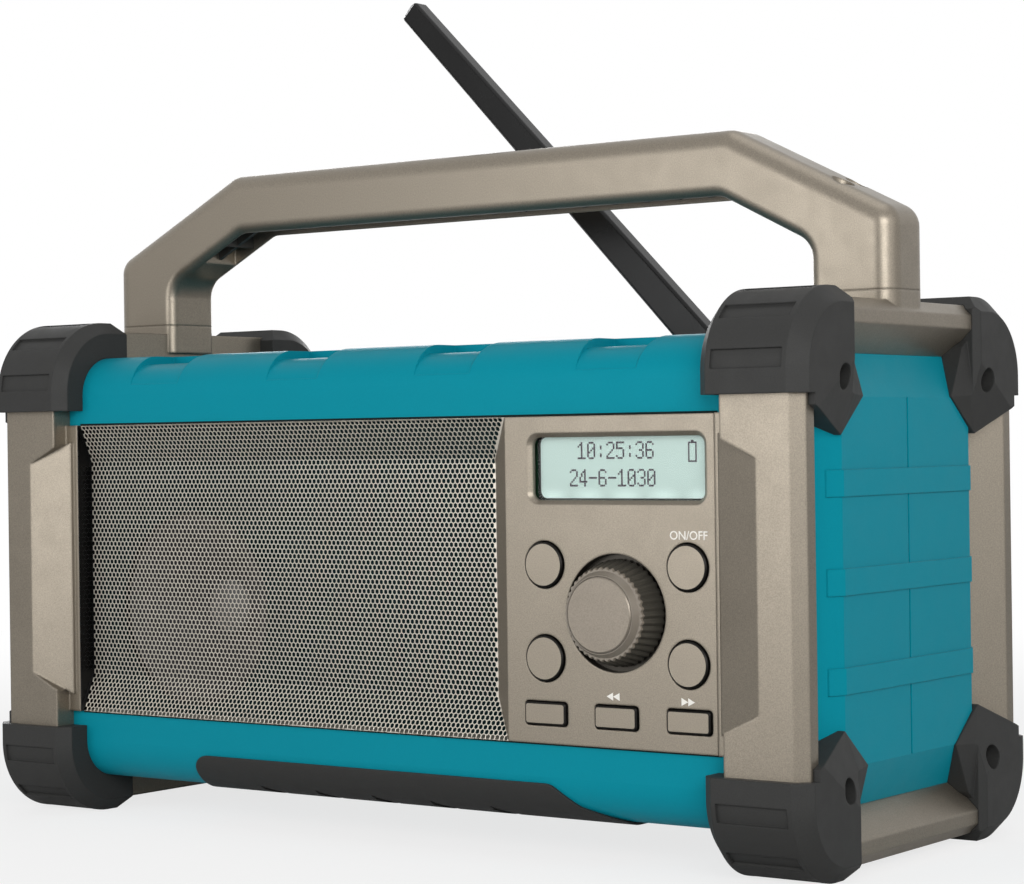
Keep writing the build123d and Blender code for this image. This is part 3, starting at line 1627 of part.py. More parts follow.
def antenna_bracket():
    """Two cheeks in the groove, joined by a web behind the aerial's eye."""
    right = antenna_groove_right
    left = antenna_pivot_x - antenna_base_width / 2
    outer = antenna_groove_half_width
    inner = outer - bracket_cheek
    floor = antenna_groove_floor
    top = antenna_pivot_height + bracket_height_above_pivot
    bracket = box(left, right, antenna_y - outer, antenna_y + outer, floor, top)
    rounded = bracket.edges().filter_by(Axis.Y).sort_by(Axis.Z)[-2:]
    bracket = fillet(rounded, bracket_height_above_pivot / 2)
    room = box(left, right - bracket_web, antenna_y - inner, antenna_y + inner, floor, top + cut_over)
    x = antenna_pivot_x
    z = antenna_pivot_height
    return bracket - room - rod_y(x, z, antenna_pin_radius, antenna_y - outer, antenna_y + outer)


def antenna_pin():
    """Steel pin through the bracket's cheeks and the aerial's eye."""
    front = antenna_y - antenna_groove_half_width
    rear = antenna_y + antenna_groove_half_width
    return rod_y(antenna_pivot_x, antenna_pivot_height, antenna_pin_radius, front, rear)


# ---------------------------------------------------------------- the pieces
write("front_shell", front_shell())
write("rear_shell", rear_shell())
write("shell_screws", *shell_screws())
write("right_end_cap", end_cap())
write("left_end_cap", mirrored(end_cap(), -1, 1, 1))

sides = {"left": -1, "right": 1}
rear_post = post()
facet_post = front_post()
upper_bar = top_bar()
lower_bar = bar()
for side, side_x in sides.items():
    write("front_" + side + "_post", mirrored(facet_post, side_x, -1, 1))
    write("rear_" + side + "_post", mirrored(rear_post, side_x, 1, 1))
    write("top_" + side + "_bar", mirrored(upper_bar, side_x, 1, 1))
    write("bottom_" + side + "_bar", mirrored(lower_bar, side_x, 1, -1))

corner_bumper = bumper()
corner_screw = bumper_screw()
corner_screws = []
for level, side_z in {"top": 1, "bottom": -1}.items():
    for face, side_y in {"front": -1, "rear": 1}.items():
        for side, side_x in sides.items():
            name = "_".join(("bumper", level, face, side))
            write(name, mirrored(corner_bumper, side_x, side_y, side_z))
            corner_screws.append(mirrored(corner_screw, side_x, side_y, side_z))
write("bumper_screws", *corner_screws)

write("handle_shell", handle_shell())
write("handle_rib_insert", handle_rib_insert())
write("handle_screws", *handle_screws())

write("speaker_grille", speaker_grille())
for name, piece in speaker_pieces().items():
    write(name, piece)
write("speaker_screws", *speaker_screws())

write("control_panel", control_panel())
write("display_window", display_window())
write("display_module", display_module())
write("control_board", control_board())
write("control_switches", *control_switches())
write("encoder_body", encoder_body())
write("encoder_plunger", encoder_plunger())
write("encoder_shaft", encoder_shaft())
write("tuning_knob", tuning_knob())
write("knob_cap", knob_cap())
for name, place in round_buttons.items():
    write(name, round_button(place))
for name, place in bar_buttons.items():
    write(name, bar_button(place))

write("main_board", main_board())
write("battery_pack", battery_pack())
door = hinged_cover(-bay_half_length, bay_half_length, bay_bottom_height, door_axis_height)
write("battery_door", door)
write("port_cover", hinged_cover(port_left_x, port_right, port_bottom_height, port_axis_height))
write("cover_hinge_pins", *cover_hinge_pins())
write("aux_socket", socket(aux_x, port_floor_y, port_wall, aux_collar_radius, aux_hole_radius))
write("dc_socket", socket(dc_x, body_half_depth, shell_wall, dc_collar_radius, dc_hole_radius))

write("antenna_mast", antenna_mast())
write("antenna_bracket", antenna_bracket())
write("antenna_pin", antenna_pin())
write("base_pad", base_pad())
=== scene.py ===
import math

import bmesh
import bpy
from mathutils import Matrix, Vector


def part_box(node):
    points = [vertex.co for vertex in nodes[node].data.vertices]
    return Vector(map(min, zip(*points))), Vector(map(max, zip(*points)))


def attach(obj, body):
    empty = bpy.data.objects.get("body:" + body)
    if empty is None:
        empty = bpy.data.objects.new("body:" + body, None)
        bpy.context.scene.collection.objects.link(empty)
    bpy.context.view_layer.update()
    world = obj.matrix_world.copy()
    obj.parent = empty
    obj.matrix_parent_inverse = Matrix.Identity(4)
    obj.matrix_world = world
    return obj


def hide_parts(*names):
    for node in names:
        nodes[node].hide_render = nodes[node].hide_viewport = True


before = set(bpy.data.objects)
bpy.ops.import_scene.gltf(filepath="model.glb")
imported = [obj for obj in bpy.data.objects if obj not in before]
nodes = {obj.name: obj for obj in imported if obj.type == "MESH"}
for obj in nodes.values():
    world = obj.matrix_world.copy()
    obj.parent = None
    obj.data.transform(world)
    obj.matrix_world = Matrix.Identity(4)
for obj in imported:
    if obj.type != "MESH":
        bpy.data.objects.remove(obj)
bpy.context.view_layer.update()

# ---------------------------------------------------------------- casing shells and end caps
# Two half shells and two dished end caps, injection moulded in teal ABS with a fine satin texture.
# The front shell's recess is coloured black as painted shade, and the black runs onto the front face
# just round it as a painted shadow of the gap round the grille.
mm = 0.001
casing_teal = (0.0030, 0.235, 0.310, 1.0)
teal_sheen = (0.12, 0.80, 0.90, 1.0)
painted_shade_black = (0.006, 0.006, 0.006, 1.0)

mid_height = 83.5 * mm
recess_half_length = 126.4 * mm
recess_half_height = 48.85 * mm
recess_front_y = -59.6 * mm
recess_back_y = -51.2 * mm

noise_low = 0.3
noise_high = 0.7
grain_detail = 3.0
blotch_detail = 2.0
grains_per_blotch = 18
smoothest_share = 0.93
roughest_share = 1.07
grain_strength = 0.6
edge_samples = 4
mix_first = 6
mix_second = 7
mix_result = 2


def join(tree, source, target):
    """Link one node's socket to another's."""
    tree.links.new(source, target)


def add(tree, kind, **settings):
    """A new shader node with the given settings."""
    node = tree.nodes.new(kind)
    for setting, value in settings.items():
        setattr(node, setting, value)
    return node


def worked_out(tree, operation, *parts):
    """A sum of the kind named, from other nodes' values and plain numbers."""
    step = add(tree, "ShaderNodeMath", operation=operation)
    for socket, part in zip(step.inputs, parts):
        if isinstance(part, float):
            socket.default_value = part
        else:
            join(tree, part, socket)
    return step.outputs["Value"]


def noise(tree, place, size, detail):
    """Soft noise whose blotches are about `size` metres across."""
    texture = add(tree, "ShaderNodeTexNoise")
    texture.inputs["Scale"].default_value = 1.0 / size
    texture.inputs["Detail"].default_value = detail
    join(tree, place.outputs["Object"], texture.inputs["Vector"])
    return texture.outputs["Fac"]


def ranged(tree, value, low, high):
    """Noise spread over a range of values."""
    spread = add(tree, "ShaderNodeMapRange")
    spread.inputs["From Min"].default_value = noise_low
    spread.inputs["From Max"].default_value = noise_high
    spread.inputs["To Min"].default_value = low
    spread.inputs["To Max"].default_value = high
    join(tree, value, spread.inputs["Value"])
    return spread.outputs["Result"]


def mixed(tree, share, first, second):
    """A colour between two others, through the sockets that a Mix node keeps for colours."""
    mixer = add(tree, "ShaderNodeMix", data_type="RGBA")
    join(tree, share, mixer.inputs["Factor"])
    for index, colour in ((mix_first, first), (mix_second, second)):
        if isinstance(colour, tuple):
            mixer.inputs[index].default_value = colour
        else:
            join(tree, colour, mixer.inputs[index])
    return mixer.outputs[mix_result]


def scaled(colour, share):
    """A colour made lighter or darker by a share."""
    return tuple(min(1.0, part * share) for part in colour[:3]) + (1.0,)


def surface(name, colour, roughness, grain, grain_depth, mottle, edge, metallic=0.0, gloss=0.5):
    """A moulded or painted skin: mottled colour, fine grain and softened edges. Sizes in metres."""
    finish = bpy.data.materials.new(name)
    finish.use_nodes = True
    tree = finish.node_tree
    shader = tree.nodes["Principled BSDF"]
    place = add(tree, "ShaderNodeTexCoord")
    fine = noise(tree, place, grain, grain_detail)
    broad = noise(tree, place, grains_per_blotch * grain, blotch_detail)
    skin = mixed(tree, ranged(tree, fine, 0.0, 1.0), scaled(colour, 1 - mottle), scaled(colour, 1 + mottle))
    join(tree, skin, shader.inputs["Base Color"])
    patches = ranged(tree, broad, smoothest_share * roughness, roughest_share * roughness)
    join(tree, patches, shader.inputs["Roughness"])
    rounded = add(tree, "ShaderNodeBevel", samples=edge_samples)
    rounded.inputs["Radius"].default_value = edge
    bump = add(tree, "ShaderNodeBump")
    bump.inputs["Strength"].default_value = grain_strength
    bump.inputs["Distance"].default_value = grain_depth
    join(tree, fine, bump.inputs["Height"])
    join(tree, rounded.outputs["Normal"], bump.inputs["Normal"])
    join(tree, bump.outputs["Normal"], shader.inputs["Normal"])
    shader.inputs["Metallic"].default_value = metallic
    shader.inputs["Specular IOR Level"].default_value = gloss
    return finish


def coat(finish, *names):
    """Put a finish on CAD nodes."""
    for name in names:
        slots = nodes[name].material_slots
        if not slots:
            nodes[name].data.materials.append(finish)
        for slot in slots:
            slot.material = finish


def place_parts(tree):
    """X, Y and Z of a point of the radio, in metres."""
    place = add(tree, "ShaderNodeTexCoord")
    parts = add(tree, "ShaderNodeSeparateXYZ")
    join(tree, place.outputs["Object"], parts.inputs["Vector"])
    return parts.outputs


def within(tree, limits):
    """1 inside a box given by (axis, middle, half width) for each of its axes, 0 outside it."""
    parts = place_parts(tree)
    inside = 1.0
    for axis, middle, half in limits:
        near = worked_out(tree, "COMPARE", parts[axis], middle, half)
        inside = worked_out(tree, "MULTIPLY", inside, near)
    return inside


def recoloured(finish, share, colour):
    """Give a finish another colour where the share is 1."""
    tree = finish.node_tree
    shader = tree.nodes["Principled BSDF"]
    plain = shader.inputs["Base Color"].links[0].from_socket
    join(tree, mixed(tree, share, plain, colour), shader.inputs["Base Color"])


def teal_finish(name):
    """Satin teal plastic, whose highlights keep some of its colour."""
    finish = surface(
        name, casing_teal, roughness=0.44, gloss=0.16,
        grain=0.45 * mm, grain_depth=0.02 * mm, mottle=0.03, edge=0.5 * mm,
    )
    finish.node_tree.nodes["Principled BSDF"].inputs["Specular Tint"].default_value = teal_sheen
    return finish


teal_plastic = teal_finish("teal_plastic")
shell_plastic = teal_finish("teal_shell_plastic")
recess_shade_limits = (
    ("X", 0.0, recess_half_length),
    ("Y", (recess_front_y + recess_back_y) / 2, (recess_back_y - recess_front_y) / 2),
    ("Z", mid_height, recess_half_height),
)
# Painted shade: black over the recess and over a thin strip of the front face round it.
recoloured(shell_plastic, within(shell_plastic.node_tree, recess_shade_limits), painted_shade_black)
coat(shell_plastic, "front_shell")
coat(teal_plastic, "rear_shell", "left_end_cap", "right_end_cap", "battery_door")

# ---------------------------------------------------------------- end frames and handle
# Moulded bars and posts, and the bent handle, sprayed with a warm grey metallic paint whose flakes
# give a fine grain. Screws from above hold the handle's legs to the bosses of the top bars.
paint_taupe = (0.225, 0.197, 0.158, 1.0)
metal_paint = surface(
    "taupe_metallic_paint", paint_taupe, roughness=0.36, metallic=0.75, gloss=0.3,
    grain=0.35 * mm, grain_depth=0.02 * mm, mottle=0.16, edge=1.0 * mm,
)
for side in ("left", "right"):
    coat(metal_paint, "front_" + side + "_post", "rear_" + side + "_post")
    coat(metal_paint, "top_" + side + "_bar", "bottom_" + side + "_bar")
coat(metal_paint, "handle_shell")

rib_taupe = (0.032, 0.029, 0.025, 1.0)
rib_plastic = surface(
    "handle_rib_plastic", rib_taupe, roughness=0.5,
    grain=0.5 * mm, grain_depth=0.02 * mm, mottle=0.08, edge=0.3 * mm,
)
coat(rib_plastic, "handle_rib_insert")

screw_steel = (0.52, 0.51, 0.49, 1.0)
plated_steel = surface(
    "plated_steel", screw_steel, roughness=0.3, metallic=1.0,
    grain=0.6 * mm, grain_depth=0.005 * mm, mottle=0.05, edge=0.2 * mm,
)
coat(plated_steel, "handle_screws", "shell_screws", "speaker_screws", "encoder_shaft")
coat(plated_steel, "antenna_pin", "cover_hinge_pins", "antenna_bracket", "speaker_basket")

# ---------------------------------------------------------------- corner bumpers and base pad
# Eight moulded rubber corners with shallow bands, each screwed through its gusset into the end cap,
# and a rubber strip let into the casing's lower front edge. The cover over the rear socket is rubber too.
bumper_grey = (0.030, 0.030, 0.029, 1.0)
bumper_rubber = surface(
    "bumper_rubber", bumper_grey, roughness=0.55, gloss=0.2,
    grain=0.3 * mm, grain_depth=0.02 * mm, mottle=0.12, edge=0.6 * mm,
)
for level in ("top", "bottom"):
    for face in ("front", "rear"):
        for side in ("left", "right"):
            coat(bumper_rubber, "_".join(("bumper", level, face, side)))
coat(bumper_rubber, "base_pad", "port_cover")

screw_black = (0.004, 0.004, 0.004, 1.0)
blackened_steel = surface(
    "blackened_steel", screw_black, roughness=0.6, gloss=0.1,
    grain=0.6 * mm, grain_depth=0.005 * mm, mottle=0.05, edge=0.2 * mm,
)
coat(blackened_steel, "bumper_screws")

# ---------------------------------------------------------------- speaker grille
# A thin steel sheet, punched with staggered six-sided holes, pressed into a shallow dish, painted to match
# the frame and pushed into the casing's recess. Its rim is folded back all round. Its left side and the
# floor next to it are coloured black as painted shade.
sheet_left = -126.1 * mm
sheet_right = 46.0 * mm
sheet_rim_right = 53.1 * mm
sheet_thickness = 0.3 * mm
dish_floor_y = -56.3 * mm
dish_rim_y = -61.25 * mm
dish_half_height = 48.1 * mm
dish_floor_half_height = 35.85 * mm
dish_left_run = 0.8 * mm
fold_back_y = -54.2 * mm
hole_pitch = 1.73 * mm
hole_radius = 0.85 * mm
hole_corners = 6
first_corner_turn = 30
floor_rows = 48
slope_rows = 9
dish_left_columns = 3
edge_margin = 0.12 * mm
last_hole_inset = 0.1 * hole_radius
outline_step = 2.5 * mm

slope_rise = dish_half_height - dish_floor_half_height
slope_run = math.hypot(slope_rise, dish_floor_y - dish_rim_y)
floor_left = sheet_left + dish_left_run
left_side_width = math.hypot(dish_left_run, dish_floor_y - dish_rim_y)
floor_row_height = 2 * dish_floor_half_height / floor_rows
slope_row_height = slope_run / slope_rows


def dish_point(across, along):
    """The place on the pressed sheet of a point of the flat sheet."""
    over = abs(along) - dish_floor_half_height
    if over <= 0 and across < floor_left:
        share = (floor_left - across) / left_side_width
        depth = dish_floor_y + share * (dish_rim_y - dish_floor_y)
        return Vector((floor_left - share * dish_left_run, depth, mid_height + along))
    if over <= 0:
        return Vector((across, dish_floor_y, mid_height + along))
    share = over / slope_run
    height = math.copysign(dish_floor_half_height + share * slope_rise, along)
    return Vector((across, dish_floor_y + share * (dish_rim_y - dish_floor_y), mid_height + height))


def sheet_right_at(along):
    """Right edge of the sheet, which widens along the sloping sides."""
    over = max(0.0, abs(along) - dish_floor_half_height)
    return sheet_right + (sheet_rim_right - sheet_right) * over / slope_run


def row_places():
    """Middle of each row of holes, measured along the flat sheet."""
    places = []
    top = dish_floor_half_height + slope_run
    for row in range(slope_rows):
        places.append(-top + (row + 0.5) * slope_row_height)
    for row in range(floor_rows):
        places.append(-dish_floor_half_height + (row + 0.5) * floor_row_height)
    for row in range(slope_rows):
        places.append(dish_floor_half_height + (row + 0.5) * slope_row_height)
    return places


def hole_ring(sheet, across, along, limit):
    """Corners of one hole, counted round from its upper right one and cut off at the sheet's margin."""
    ring = []
    for corner in range(hole_corners):
        turn = math.radians(first_corner_turn + 360 / hole_corners * corner)
        x = min(limit, across + hole_radius * math.cos(turn))
        ring.append(sheet.verts.new((x, along + hole_radius * math.sin(turn), 0)))
    return ring


def punched_sheet():
    """The flat sheet with its holes, as a mesh of webs between the holes."""
    sheet = bmesh.new()
    rings = {}
    for row, along in enumerate(row_places()):
        first = floor_left + edge_margin + hole_radius + (row % 2) * hole_pitch / 2
        limit = sheet_right_at(along) - edge_margin
        count = int((limit - last_hole_inset - first) / hole_pitch) + 1
        start = -dish_left_columns if abs(along) < dish_floor_half_height - floor_row_height else 0
        for column in range(start, count):
            rings[row, column] = hole_ring(sheet, first + column * hole_pitch, along, limit)
    for (row, column), ring in rings.items():
        shift = row % 2
        right = rings.get((row, column + 1))
        upper_right = rings.get((row + 1, column + shift))
        upper_left = rings.get((row + 1, column + shift - 1))
        if right:
            sheet.faces.new((ring[5], right[3], right[2], ring[0]))
        if upper_right:
            sheet.faces.new((ring[0], upper_right[4], upper_right[3], ring[1]))
        if upper_left:
            sheet.faces.new((ring[1], upper_left[5], upper_left[4], ring[2]))
        if right and upper_right:
            sheet.faces.new((ring[0], right[2], upper_right[4]))
        if upper_left and upper_right:
            sheet.faces.new((ring[1], upper_right[3], upper_left[5]))
    return sheet, rings


def field_border(sheet, rings):
    """Edges round the outside of the punched field, those of the outermost holes included."""
    hole_edges = set()
    border = []
    for ring in rings.values():
        for index, vert in enumerate(ring):
            follower = ring[(index + 1) % hole_corners]
            edge = sheet.edges.get((vert, follower))
            if edge is None:
                border.append(sheet.edges.new((vert, follower)))
            else:
                hole_edges.add(edge)
    border += [edge for edge in sheet.edges if edge.is_boundary and edge not in hole_edges]
    return border


def straight_run(start, end):
    """Points a few millimetres apart from one corner of the sheet up to the next."""
    count = max(1, round((Vector(end) - Vector(start)).length / outline_step))
    return [Vector(start).lerp(Vector(end), index / count) for index in range(count)]


def sheet_outline(sheet):
    """The flat sheet's outline, one list of points for each of its straight sides."""
    top = dish_floor_half_height + slope_run
    crease = dish_floor_half_height
    side_left = floor_left - left_side_width
    corners = [(sheet_left, -top), (floor_left, -crease), (side_left, -crease), (side_left, crease)]
    corners += [(floor_left, crease), (sheet_left, top), (sheet_rim_right, top), (sheet_right, crease)]
    corners += [(sheet_right, -crease), (sheet_rim_right, -top)]
    sides = []
    for start, end in zip(corners, corners[1:] + corners[:1]):
        sides.append([sheet.verts.new((*point, 0)) for point in straight_run(start, end)])
    return sides


def new_piece(name, shape, finish, body):
    """Turn a bmesh into a piece that rides on a body."""
    mesh = bpy.data.meshes.new(name)
    shape.to_mesh(mesh)
    shape.free()
    mesh.materials.append(finish)
    piece = bpy.data.objects.new(name, mesh)
    bpy.context.scene.collection.objects.link(piece)
    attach(piece, body)
    return piece


def thicken(piece, thickness):
    """Give a sheet its thickness, behind the side that its faces look to."""
    solid = piece.modifiers.new("thickness", "SOLIDIFY")
    solid.thickness = thickness
    solid.offset = -1.0


def pressed_grille(name, finish):
    """The punched sheet pressed into its dish, with plain left corners and a folded-back rim."""
    sheet, rings = punched_sheet()
    sides = sheet_outline(sheet)
    outline = sum(sides, [])
    edges = field_border(sheet, rings)
    edges += [sheet.edges.new((a, b)) for a, b in zip(outline, outline[1:] + outline[:1])]
    bmesh.ops.triangle_fill(sheet, use_beauty=True, edges=edges, normal=(0, 0, 1))
    for vert in sheet.verts:
        vert.co = dish_point(vert.co.x, vert.co.y)
    lower_corner = sides[0] + sides[1] + sides[2][:1]
    upper_corner = sides[3] + sides[4] + sides[5][:1]
    sheet.faces.new(lower_corner)
    sheet.faces.new(upper_corner)
    rim = [sides[0][0]] + sides[2] + sides[3][:1] + sum(sides[5:], [])
    folded = [sheet.verts.new((vert.co.x, fold_back_y, vert.co.z)) for vert in rim]
    for index, vert in enumerate(rim):
        follower = (index + 1) % len(rim)
        sheet.faces.new((vert, rim[follower], folded[follower], folded[index]))
    bmesh.ops.recalc_face_normals(sheet, faces=sheet.faces)
    sheet.faces.ensure_lookup_table()
    if sheet.faces[0].normal.y > 0:
        bmesh.ops.reverse_faces(sheet, faces=sheet.faces)
    piece = new_piece(name, sheet, finish, "root")
    thicken(piece, sheet_thickness)
    return piece


grille_taupe = (0.62, 0.575, 0.50, 1.0)
grille_paint = surface(
    "grille_paint", grille_taupe, roughness=0.30, metallic=0.6, gloss=0.4,
    grain=0.4 * mm, grain_depth=0.01 * mm, mottle=0.06, edge=0.15 * mm,
)
coat(grille_paint, "speaker_grille")
# Painted shade: the dish's left side and the floor next to it turn black.
left_side_shade_limits = (("X", sheet_left, 2 * dish_left_run),)
recoloured(grille_paint, within(grille_paint.node_tree, left_side_shade_limits), painted_shade_black)
grille = pressed_grille("punched_grille", grille_paint)
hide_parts("speaker_grille")

# ---------------------------------------------------------------- speaker
# A round speaker behind the grille: pressed steel basket, rubber surround, paper cone and dust cap, and a
# ferrite magnet behind. Four screws hold the basket to the ledge round the casing's opening.
cone_black = (0.02, 0.02, 0.021, 1.0)
cone_paper = surface(
    "cone_paper", cone_black, roughness=0.7,
    grain=0.4 * mm, grain_depth=0.03 * mm, mottle=0.2, edge=0.2 * mm,
)
coat(cone_paper, "speaker_cone", "speaker_surround")
cap_grey = (0.10, 0.10, 0.095, 1.0)
cap_paper = surface(
    "dust_cap_paper", cap_grey, roughness=0.45,
    grain=0.4 * mm, grain_depth=0.02 * mm, mottle=0.08, edge=0.2 * mm,
)
coat(cap_paper, "speaker_dust_cap")
ferrite_grey = (0.03, 0.03, 0.032, 1.0)
ferrite = surface(
    "ferrite", ferrite_grey, roughness=0.6,
    grain=0.5 * mm, grain_depth=0.02 * mm, mottle=0.2, edge=0.3 * mm,
)
coat(ferrite, "speaker_magnet")

# ---------------------------------------------------------------- control panel and keys
# A panel and seven keys, painted like the frame. The taupe stops at the edges of the panel's holes and
# short of the keys' rims, and the black ring this leaves round each key is painted shade in the gap. The
# knob's well is coloured dark as painted shade.
round_keys = ("mode_button", "preset_button", "power_button", "tone_button")
bar_keys = ("menu_button", "previous_button", "next_button")
round_hole = (7.1 * mm, 7.1 * mm, 7.1 * mm)
bar_hole = (7.7 * mm, 3.7 * mm, 1.3 * mm)
round_face = (6.15 * mm, 6.15 * mm, 6.15 * mm)
bar_face = (6.75 * mm, 2.8 * mm, 0.7 * mm)
well_hole = (17.25 * mm, 17.25 * mm, 17.25 * mm)
well_front_y = -60.9 * mm
well_depth = 3.0 * mm
well_shade_dark = (0.040, 0.036, 0.030, 1.0)
gap_shade_black = (0.012, 0.011, 0.010, 1.0)
key_lightness = 1.05


def middle_of(name):
    """X and Z of the middle of a CAD node."""
    low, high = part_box(name)
    return (low[0] + high[0]) / 2, (low[2] + high[2]) / 2


def within_hole(tree, middle, hole):
    """1 within a hole round an (x, z) middle, given by its half length, half height and corner radius."""
    half_length, half_height, corner = hole
    place = add(tree, "ShaderNodeTexCoord")
    steps = (
        ("SUBTRACT", (middle[0], 0.0, middle[1])),
        ("MULTIPLY", (1.0, 0.0, 1.0)),
        ("ABSOLUTE", (0.0, 0.0, 0.0)),
        ("SUBTRACT", (half_length - corner, 0.0, half_height - corner)),
        ("MAXIMUM", (0.0, 0.0, 0.0)),
    )
    point = place.outputs["Object"]
    for operation, amount in steps:
        step = add(tree, "ShaderNodeVectorMath", operation=operation)
        join(tree, point, step.inputs[0])
        step.inputs[1].default_value = amount
        point = step.outputs["Vector"]
    reach = add(tree, "ShaderNodeVectorMath", operation="LENGTH")
    join(tree, point, reach.inputs[0])
    return worked_out(tree, "LESS_THAN", reach.outputs["Value"], corner)


def any_key(tree, round_shape, bar_shape):
    """1 within a shape laid round each key's middle, one for the round keys and one for the bars."""
    found = 0.0
    for key in round_keys + bar_keys:
        shape = round_shape if key in round_keys else bar_shape
        found = worked_out(tree, "MAXIMUM", found, within_hole(tree, middle_of(key), shape))
    return found


key_taupe = scaled(paint_taupe, key_lightness)
key_paint = surface(
    "key_paint", key_taupe, roughness=0.36, metallic=0.75, gloss=0.3,
    grain=0.35 * mm, grain_depth=0.02 * mm, mottle=0.12, edge=0.4 * mm,
)
key_tree = key_paint.node_tree
on_face = any_key(key_tree, round_face, bar_face)
# Painted shade: each key turns black outside its painted face, round its rim.
recoloured(key_paint, worked_out(key_tree, "SUBTRACT", 1.0, on_face), gap_shade_black)
coat(key_paint, *round_keys, *bar_keys)

panel_paint = surface(
    "panel_paint", paint_taupe, roughness=0.36, metallic=0.75, gloss=0.3,
    grain=0.35 * mm, grain_depth=0.02 * mm, mottle=0.16, edge=0.7 * mm,
)
panel_tree = panel_paint.node_tree
round_the_knob = within_hole(panel_tree, middle_of("tuning_knob"), well_hole)
behind_the_face = within(panel_tree, (("Y", well_front_y + well_depth, well_depth),))
shaded_well = worked_out(panel_tree, "MULTIPLY", round_the_knob, behind_the_face)
# Painted shade: the floor and wall of the knob's well turn dark.
recoloured(panel_paint, shaded_well, well_shade_dark)
# Painted shade: the panel turns black at the edges of its holes round the keys.
recoloured(panel_paint, any_key(panel_tree, round_hole, bar_hole), gap_shade_black)
coat(panel_paint, "control_panel")

# ---------------------------------------------------------------- display
# A grey-green backlit liquid crystal display with a black mask printed round it, behind a clear window
# with rounded corners. Its numerals and battery mark are dark cells, and the lamps below its lower edge
# leave a row of brighter patches.
display_green = (0.42, 0.51, 0.49, 1.0)
lamp_green = (0.60, 0.71, 0.69, 1.0)
display_glow = 0.26
display_bottom = 107.4 * mm
lamp_core = 0.2 * mm
lamp_reach = 4.2 * mm
lamp_flatness = 0.5
lamp_pitch = 13.0 * mm
lamp_first_x = 67.5 * mm
module_low, module_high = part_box("display_module")
film_rise = 0.07 * mm
film_y = module_low[1] - film_rise
numeral_cell = 0.565 * mm
columns_per_numeral = 6
mark_cell = 0.485 * mm
cell_depth = 0.06 * mm

numerals = {
    "0": (".XXX.", "X...X", "X...X", "X..XX", "X.X.X", "XX..X", "X...X", "X...X", ".XXX."),
    "1": ("..X..", ".XX..", "X.X..", "..X..", "..X..", "..X..", "..X..", "..X..", "XXXXX"),
    "2": (".XXX.", "X...X", "....X", "....X", "...X.", "..X..", ".X...", "X....", "XXXXX"),
    "3": (".XXX.", "X...X", "....X", "....X", "..XX.", "....X", "....X", "X...X", ".XXX."),
    "4": ("...X.", "..XX.", ".X.X.", ".X.X.", "X..X.", "X..X.", "XXXXX", "...X.", "...X."),
    "5": ("XXXXX", "X....", "X....", "XXXX.", "....X", "....X", "....X", "X...X", ".XXX."),
    "6": (".XXX.", "X...X", "X....", "X....", "XXXX.", "X...X", "X...X", "X...X", ".XXX."),
    ":": (".....", ".....", "..X..", "..X..", ".....", ".....", "..X..", "..X..", "....."),
    "-": (".....", ".....", ".....", ".....", "XXXXX", ".....", ".....", ".....", "....."),
}
battery_mark = ("..XX..", "XXXXXX") + ("X....X",) * 10 + ("XXXXXX",)


def lit_display(finish):
    """Brighter patches over the lamps along the display's lower edge."""
    tree = finish.node_tree
    shader = tree.nodes["Principled BSDF"]
    plain = shader.inputs["Base Color"].links[0].from_socket
    parts = place_parts(tree)
    from_first = worked_out(tree, "SUBTRACT", parts["X"], lamp_first_x)
    from_lamp = worked_out(tree, "PINGPONG", from_first, lamp_pitch / 2)
    from_lamp = worked_out(tree, "MULTIPLY", from_lamp, lamp_flatness)
    from_edge = worked_out(tree, "SUBTRACT", parts["Z"], display_bottom)
    away = add(tree, "ShaderNodeCombineXYZ")
    join(tree, from_lamp, away.inputs["X"])
    join(tree, from_edge, away.inputs["Z"])
    distance = add(tree, "ShaderNodeVectorMath", operation="LENGTH")
    join(tree, away.outputs["Vector"], distance.inputs[0])
    fade = add(tree, "ShaderNodeMapRange", interpolation_type="SMOOTHSTEP")
    join(tree, distance.outputs["Value"], fade.inputs["Value"])
    fade.inputs["From Min"].default_value = lamp_core
    fade.inputs["From Max"].default_value = lamp_reach
    fade.inputs["To Min"].default_value = 1.0
    fade.inputs["To Max"].default_value = 0.0
    lit = mixed(tree, fade.outputs["Result"], plain, lamp_green)
    join(tree, lit, shader.inputs["Base Color"])
    join(tree, lit, shader.inputs["Emission Color"])
    shader.inputs["Emission Strength"].default_value = display_glow


def add_cells(cells, corners, pattern, left, top, cell):
    """Add the dark cells of one pattern to a flat mesh. Cells that meet share their corners."""
    for row, line in enumerate(pattern):
        for column, mark in enumerate(line):
            if mark != "X":
                continue
            face = []
            for across, down in ((0, 0), (0, 1), (1, 1), (1, 0)):
                x = left + (column + across) * cell
                z = top - (row + down) * cell
                key = (round(x / cell_depth), round(z / cell_depth))
                if key not in corners:
                    corners[key] = cells.verts.new((x, film_y, z))
                face.append(corners[key])
            cells.faces.new(face)


def numeral_rows(name, rows, battery, finish):
    """Rows of numerals, each as (text, left, top), and the battery mark, as (left, top)."""
    cells = bmesh.new()
    corners = {}
    for text, left, top in rows:
        for index, character in enumerate(text):
            start = left + columns_per_numeral * index * numeral_cell
            add_cells(cells, corners, numerals[character], start, top, numeral_cell)
    add_cells(cells, corners, battery_mark, *battery, mark_cell)
    piece = new_piece(name, cells, finish, "root")
    thicken(piece, cell_depth)
    return piece


display_film = surface(
    "display_film", display_green, roughness=0.5,
    grain=0.6 * mm, grain_depth=0.002 * mm, mottle=0.01, edge=0.1 * mm,
)
lit_display(display_film)
coat(display_film, "display_module")

